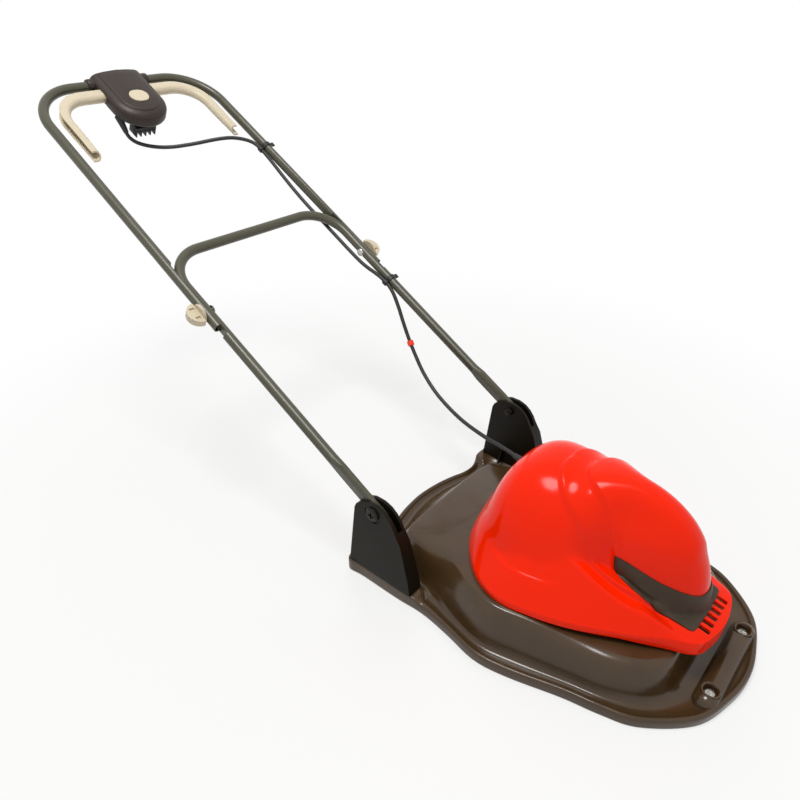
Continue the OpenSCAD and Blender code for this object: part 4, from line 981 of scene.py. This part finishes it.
def lever_rings(side):
    """Rings of a lever along its arm, its bend and its grip, narrower towards the tip"""
    x, u = LEVER_BEND
    stations = []
    for k in range(ARM_STEPS):
        at = (LEVER_START + (x - LEVER_START) * k / ARM_STEPS, LEVER_U)
        stations.append((at, (0, 1), LIP_ARM))
    for k in range(BEND_STEPS + 1):
        t = k / BEND_STEPS
        out = (math.sin(t * math.pi / 2), math.cos(t * math.pi / 2))
        at = (x + LEVER_BEND_R * out[0], u + LEVER_BEND_R * out[1])
        stations.append((at, out, LIP_ARM + (LIP_GRIP - LIP_ARM) * t))
    for k in range(1, GRIP_STEPS + 1):
        at = (x + LEVER_BEND_R, u - LEVER_GRIP * k / GRIP_STEPS)
        stations.append((at, (1, 0), LIP_GRIP))
    rings = []
    tip = len(stations) - 1
    for j, (at, out, lip) in enumerate(stations):
        slim = 1 - TIP_SLIM * step_up(tip - 7, tip, j)
        slant = TIP_SLANT * step_up(tip - 3, tip, j)
        ring = []
        for o, n in lever_profile(lip):
            o, n = LEVER_R + (o - LEVER_R) * slim, n * slim
            ring.append(Vector((side * (at[0] + o * out[0]), at[1] + o * out[1] + n * slant, n)))
        rings.append(ring)
    return rings


def plateau_rings():
    """Rings of the raised field on the case, from its border to the hole for the button"""
    def ring(half_w, share, rise):
        made = []
        for j in range(FIELD_POINTS):
            a = 2 * math.pi * (j + 0.5) / FIELD_POINTS
            c, s = math.cos(a), math.sin(a)
            r = half_w if s < 0 else min(half_w / abs(c), (FIELD_END + half_w) / s)
            hole = Vector((BUTTON_R * c + math.copysign(BUTTON_HALF, c), BUTTON_R * s - 1, 0))
            p = Vector((r * c, r * s, 0)).lerp(hole, share)
            p.z = table_at(CASE_TOP, p.length if p.y < 0 else abs(p.x)) + rise
            made.append(p + Vector((0, CASE_MID_U, 0)))
        return made

    return [ring(*row) for row in FIELD_ROWS]


class MOWER_OT_switch_box(bpy.types.Operator):
    """Switch box with its button, levers, ribbed inlet, guard and hook"""
    bl_idname = "mower.switch_box"
    bl_label = "Switch box"

    def execute(self, context):
        f = finishes()
        for node in ("switch_case_upper", "switch_case_lower"):
            dress(node, f["box"], 0.0006, 2, smooth=25)
        rings = plateau_rings()
        field = tidy(loft(rings + [rings[0]])[0])
        bmesh.ops.transform(field, matrix=HANDLE, verts=field.verts)
        make("case_field", field, f["box"], ["switch_case_upper"], smooth=30)
        dress("lock_button", f["cream"], 0.0012, 3)
        spring = dress("button_spring", f["screw"])
        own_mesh(spring)
        for side, s in (("left", 1), ("right", -1)):
            sleeve = lathe(SLEEVE)
            place = Matrix.Translation((SLEEVE_X * s, LOOP_U, 0))
            place @= Matrix.Rotation(s * math.pi / 2, 4, "Y")
            bmesh.ops.transform(sleeve, matrix=HANDLE @ place, verts=sleeve.verts)
            make("case_sleeve_" + side, sleeve, f["box"], ["switch_case_upper"])
            lever = capped(lever_rings(s))
            bmesh.ops.transform(lever, matrix=HANDLE, verts=lever.verts)
            make("lever_" + side + "_piece", lever, f["cream"], ["lever_" + side], smooth=50)
        dress("inlet_block", f["black"], 0.0003)
        dress("cord_guard", f["rubber"], 0.0006)
        dress("cord_hook", f["black"], 0.0004)
        dress("case_screws", f["screw"], 0.0004)
        return {"FINISHED"}


# Cord: routes in mm, the first two on the handle: across, up from the pivot, out of its plane

UPPER_ROUTE = [
    (-33, 807, -33), (-31.4, 805.2, -37.1), (-27.2, 800.3, -42.2), (-18, 792.5, -46.5),
    (-3, 782, -47.5), (14, 771, -45), (32, 761, -40), (50, 752, -33), (69, 743, -25),
    (88, 734, -16), (106, 726, -9), (122, 719, -5), (137, 710, -3), (148, 700, -2),
    (154, 690.5, -2), (156, 681, -2), (156, 674.2, -2),
]
MIDDLE_ROUTE = [
    (156, 674, -2), (156, 663, -2), (156, 647, -3.2), (156, 630, -5), (156, 600, -8.5),
    (156, 565, -11.5), (156, 530, -13), (156, 490, -13), (156, 450, -13), (156, 410, -13),
    (156, 380, -12), (156, 360, -9), (156, 342, -4.5), (156, 327, -2), (156, 314, -2),
]
LOWER_ROUTE = [
    (156, 459.4, 284.54), (156, 452.67, 280.58), (154, 440.5, 269.5), (149.5, 425, 250),
    (144, 410, 229), (138, 392, 205), (132, 372, 182), (124, 346, 158), (115, 313, 138),
    (106, 278, 126), (97, 242, 119), (89, 208, 117), (81, 175, 118), (76, 152, 120),
    (72, 135.5, 121), (68.2, 119.1, 121),
]
ROUTE_STEPS = 6


def tube_bmesh(points, radius):
    """Round tube along a route, made by a bevelled curve"""
    curve = bpy.data.curves.new("route", "CURVE")
    curve.dimensions = "3D"
    curve.bevel_depth = radius
    curve.bevel_resolution = 4
    curve.use_fill_caps = True
    line = curve.splines.new("POLY")
    line.points.add(len(points) - 1)
    for point, place in zip(line.points, points):
        point.co = (*place, 1)
    holder = in_scene("route", curve)
    shown = holder.evaluated_get(bpy.context.evaluated_depsgraph_get())
    mesh = bpy.data.meshes.new_from_object(shown)
    bm = bmesh.new()
    bm.from_mesh(mesh)
    bpy.data.objects.remove(holder)
    bpy.data.curves.remove(curve)
    bpy.data.meshes.remove(mesh)
    return tidy(bm, MERGE_MM * MM)


def loose(piece):
    """Takes a piece off its body: no parent, no body key, and its place baked into its mesh"""
    piece.parent = None
    del piece["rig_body"]
    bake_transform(piece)


class MOWER_OT_cords(bpy.types.Operator):
    """Cord from the switch box over two clips to the motor cover, with its marker clip"""
    bl_idname = "mower.cords"
    bl_label = "Cord"

    def execute(self, context):
        f = finishes()
        radius = context.scene.mower_sizes.cord_radius
        upper = [HANDLE @ Vector(p) for p in UPPER_ROUTE]
        middle = [HANDLE @ Vector(p) for p in MIDDLE_ROUTE]
        lower = [Vector(p) * MM for p in LOWER_ROUTE]
        made = {}
        for name, route in (("upper", upper), ("middle", middle), ("lower", lower)):
            path = smooth_route(route, ROUTE_STEPS)
            made[name] = make("cord_" + name + "_piece", tube_bmesh(path, radius), f["cord"],
                              ["cord_" + name])
        loose(made["middle"])
        loose(made["lower"])
        marker = dress("cord_marker", f["marker"], 0.0006)
        loose(marker)
        for node in ("cord_clip_upper", "cord_clip_lower"):
            dress(node, f["black"], 0.0004)
        return {"FINISHED"}


# Stage: pale floor, soft light and the camera of the photograph

CAMERA_AT = (-0.6745, -0.2985, 0.7489)
CAMERA_RIGHT = (0.64985, -0.76006, -0.00115)
CAMERA_UP = (0.41822, 0.35632, 0.83554)
CAMERA_AHEAD = (0.63465, 0.54346, -0.54943)
FOCAL_PX = 675.47
MIDDLE_PX = (406.57, 412.93)
PICTURE_PX = 800
SENSOR_MM = 36
CLIP_M = 0.02
# Lamps: name, place, size in metres and power in watts, all turned to the aim
LAMPS = (("key", (-0.5, 0.3, 2.5), 0.9, 40), ("fill", (0.6, -1.9, 1.5), 1.6, 6),
         ("rear", (1.4, 1.6, 1.9), 1.5, 10))
LAMP_AIM = Vector((0, 0.2, 0.2))
SOFT_LIGHT = 0.3
FLOOR_SIZE = 12
FLOOR_Z = -0.0005
# The floor shows its shadow near the mower and is plain white further off
SHADOW_MID = (0, 0.3, 0)
SHADOW_NEAR = 0.3
SHADOW_FAR = 1.1
WHITE_NEAR = 0.55


class MOWER_OT_stage(bpy.types.Operator):
    """Pale floor, soft studio light and the camera"""
    bl_idname = "mower.stage"
    bl_label = "Stage"

    def execute(self, context):
        scene = context.scene
        scene.view_settings.view_transform = "Standard"
        camera = bpy.data.cameras.new("camera")
        camera.sensor_width = SENSOR_MM
        camera.lens = FOCAL_PX / PICTURE_PX * SENSOR_MM
        camera.shift_x = (PICTURE_PX / 2 - MIDDLE_PX[0]) / PICTURE_PX
        camera.shift_y = (MIDDLE_PX[1] - PICTURE_PX / 2) / PICTURE_PX
        camera.clip_start = CLIP_M
        view = in_scene("camera", camera)
        axes = Matrix((CAMERA_RIGHT, CAMERA_UP, -Vector(CAMERA_AHEAD))).transposed()
        view.matrix_world = Matrix.Translation(CAMERA_AT) @ axes.to_4x4()
        scene.camera = view
        self.floor()
        self.world(scene)
        for name, at, size, power in LAMPS:
            lamp = bpy.data.lights.new(name, "AREA")
            lamp.shape = "DISK"
            lamp.size = size
            lamp.energy = power
            light = in_scene(name, lamp)
            light.visible_glossy = name == "key"
            light.location = at
            light.rotation_mode = "QUATERNION"
            light.rotation_quaternion = (LAMP_AIM - Vector(at)).to_track_quat("-Z", "Y")
        return {"FINISHED"}

    def floor(self):
        bm = bmesh.new()
        bmesh.ops.create_grid(bm, x_segments=1, y_segments=1, size=FLOOR_SIZE)
        bmesh.ops.translate(bm, verts=bm.verts, vec=(0, 0, FLOOR_Z))
        floor = in_scene("floor", mesh_of("floor", bm))
        made = bpy.data.materials.new("white studio floor")
        tree = fresh_tree(made)
        paths = add(tree, "ShaderNodeLightPath")
        seen = add(tree, "ShaderNodeMath", {
            0: paths.outputs["Is Camera Ray"], 1: paths.outputs["Is Glossy Ray"]}, operation="MAXIMUM")
        place = add(tree, "ShaderNodeTexCoord").outputs["Object"]
        away = add(tree, "ShaderNodeVectorMath", {0: place, 1: SHADOW_MID}, operation="DISTANCE")
        far = add(tree, "ShaderNodeMapRange", {
            "Value": away.outputs["Value"], "From Min": SHADOW_NEAR, "From Max": SHADOW_FAR,
            "To Min": WHITE_NEAR, "To Max": 1.0}, interpolation_type="SMOOTHSTEP")
        share = add(tree, "ShaderNodeMath", {0: seen.outputs[0], 1: far.outputs[0]},
                    operation="MULTIPLY")
        dull = add(tree, "ShaderNodeBsdfDiffuse", {"Color": (*linear("#F2F2F0"), 1)})
        lit = add(tree, "ShaderNodeEmission", {"Color": (1, 1, 1, 1), "Strength": 1.0})
        both = add(tree, "ShaderNodeMixShader", {
            0: share.outputs[0], 1: dull.outputs[0], 2: lit.outputs[0]})
        add(tree, "ShaderNodeOutputMaterial", {"Surface": both.outputs[0]})
        floor.data.materials.append(made)

    def world(self, scene):
        world = bpy.data.worlds.new("studio")
        tree = fresh_tree(world)
        paths = add(tree, "ShaderNodeLightPath")
        direct = add(tree, "ShaderNodeMath", {
            0: paths.outputs["Is Camera Ray"], 1: paths.outputs["Is Transmission Ray"]},
            operation="MAXIMUM")
        seen = add(tree, "ShaderNodeMath", {0: direct.outputs[0], 1: paths.outputs["Is Glossy Ray"]},
                   operation="MAXIMUM")
        soft = add(tree, "ShaderNodeBackground", {"Color": (1, 1, 1, 1), "Strength": SOFT_LIGHT})
        white = add(tree, "ShaderNodeBackground", {"Color": (1, 1, 1, 1), "Strength": 1.0})
        both = add(tree, "ShaderNodeMixShader", {
            0: seen.outputs[0], 1: soft.outputs[0], 2: white.outputs[0]})
        add(tree, "ShaderNodeOutputWorld", {"Surface": both.outputs[0]})
        scene.world = world


OPERATORS = (MOWER_OT_stage, MOWER_OT_cords, MOWER_OT_hood, MOWER_OT_cover, MOWER_OT_brackets,
             MOWER_OT_motor, MOWER_OT_blade, MOWER_OT_handles, MOWER_OT_switch_box)
OWN_KEYS = 2


class MOWER_PT_pieces(bpy.types.Panel):
    """Pieces of the mower, in the order of making"""
    bl_idname = "MOWER_PT_pieces"
    bl_label = "Hover mower"
    bl_space_type = "VIEW_3D"
    bl_region_type = "UI"
    bl_category = "Mower"

    def draw(self, context):
        for group in (context.scene.mower_colours, context.scene.mower_sizes):
            for key in group.bl_rna.properties.keys()[OWN_KEYS:]:
                self.layout.prop(group, key)
        for operator in OPERATORS:
            self.layout.operator(operator.bl_idname)


CLASSES = (MowerColours, MowerSizes, *OPERATORS, MOWER_PT_pieces)


def register():
    for cls in CLASSES:
        bpy.utils.register_class(cls)
    bpy.types.Scene.mower_colours = bpy.props.PointerProperty(type=MowerColours)
    bpy.types.Scene.mower_sizes = bpy.props.PointerProperty(type=MowerSizes)


def unregister():
    del bpy.types.Scene.mower_sizes
    del bpy.types.Scene.mower_colours
    for cls in reversed(CLASSES):
        bpy.utils.unregister_class(cls)


def main():
    register()
    for operator in OPERATORS:
        group, name = operator.bl_idname.split(".")
        getattr(getattr(bpy.ops, group), name)()


if __name__ == "__main__":
    main()
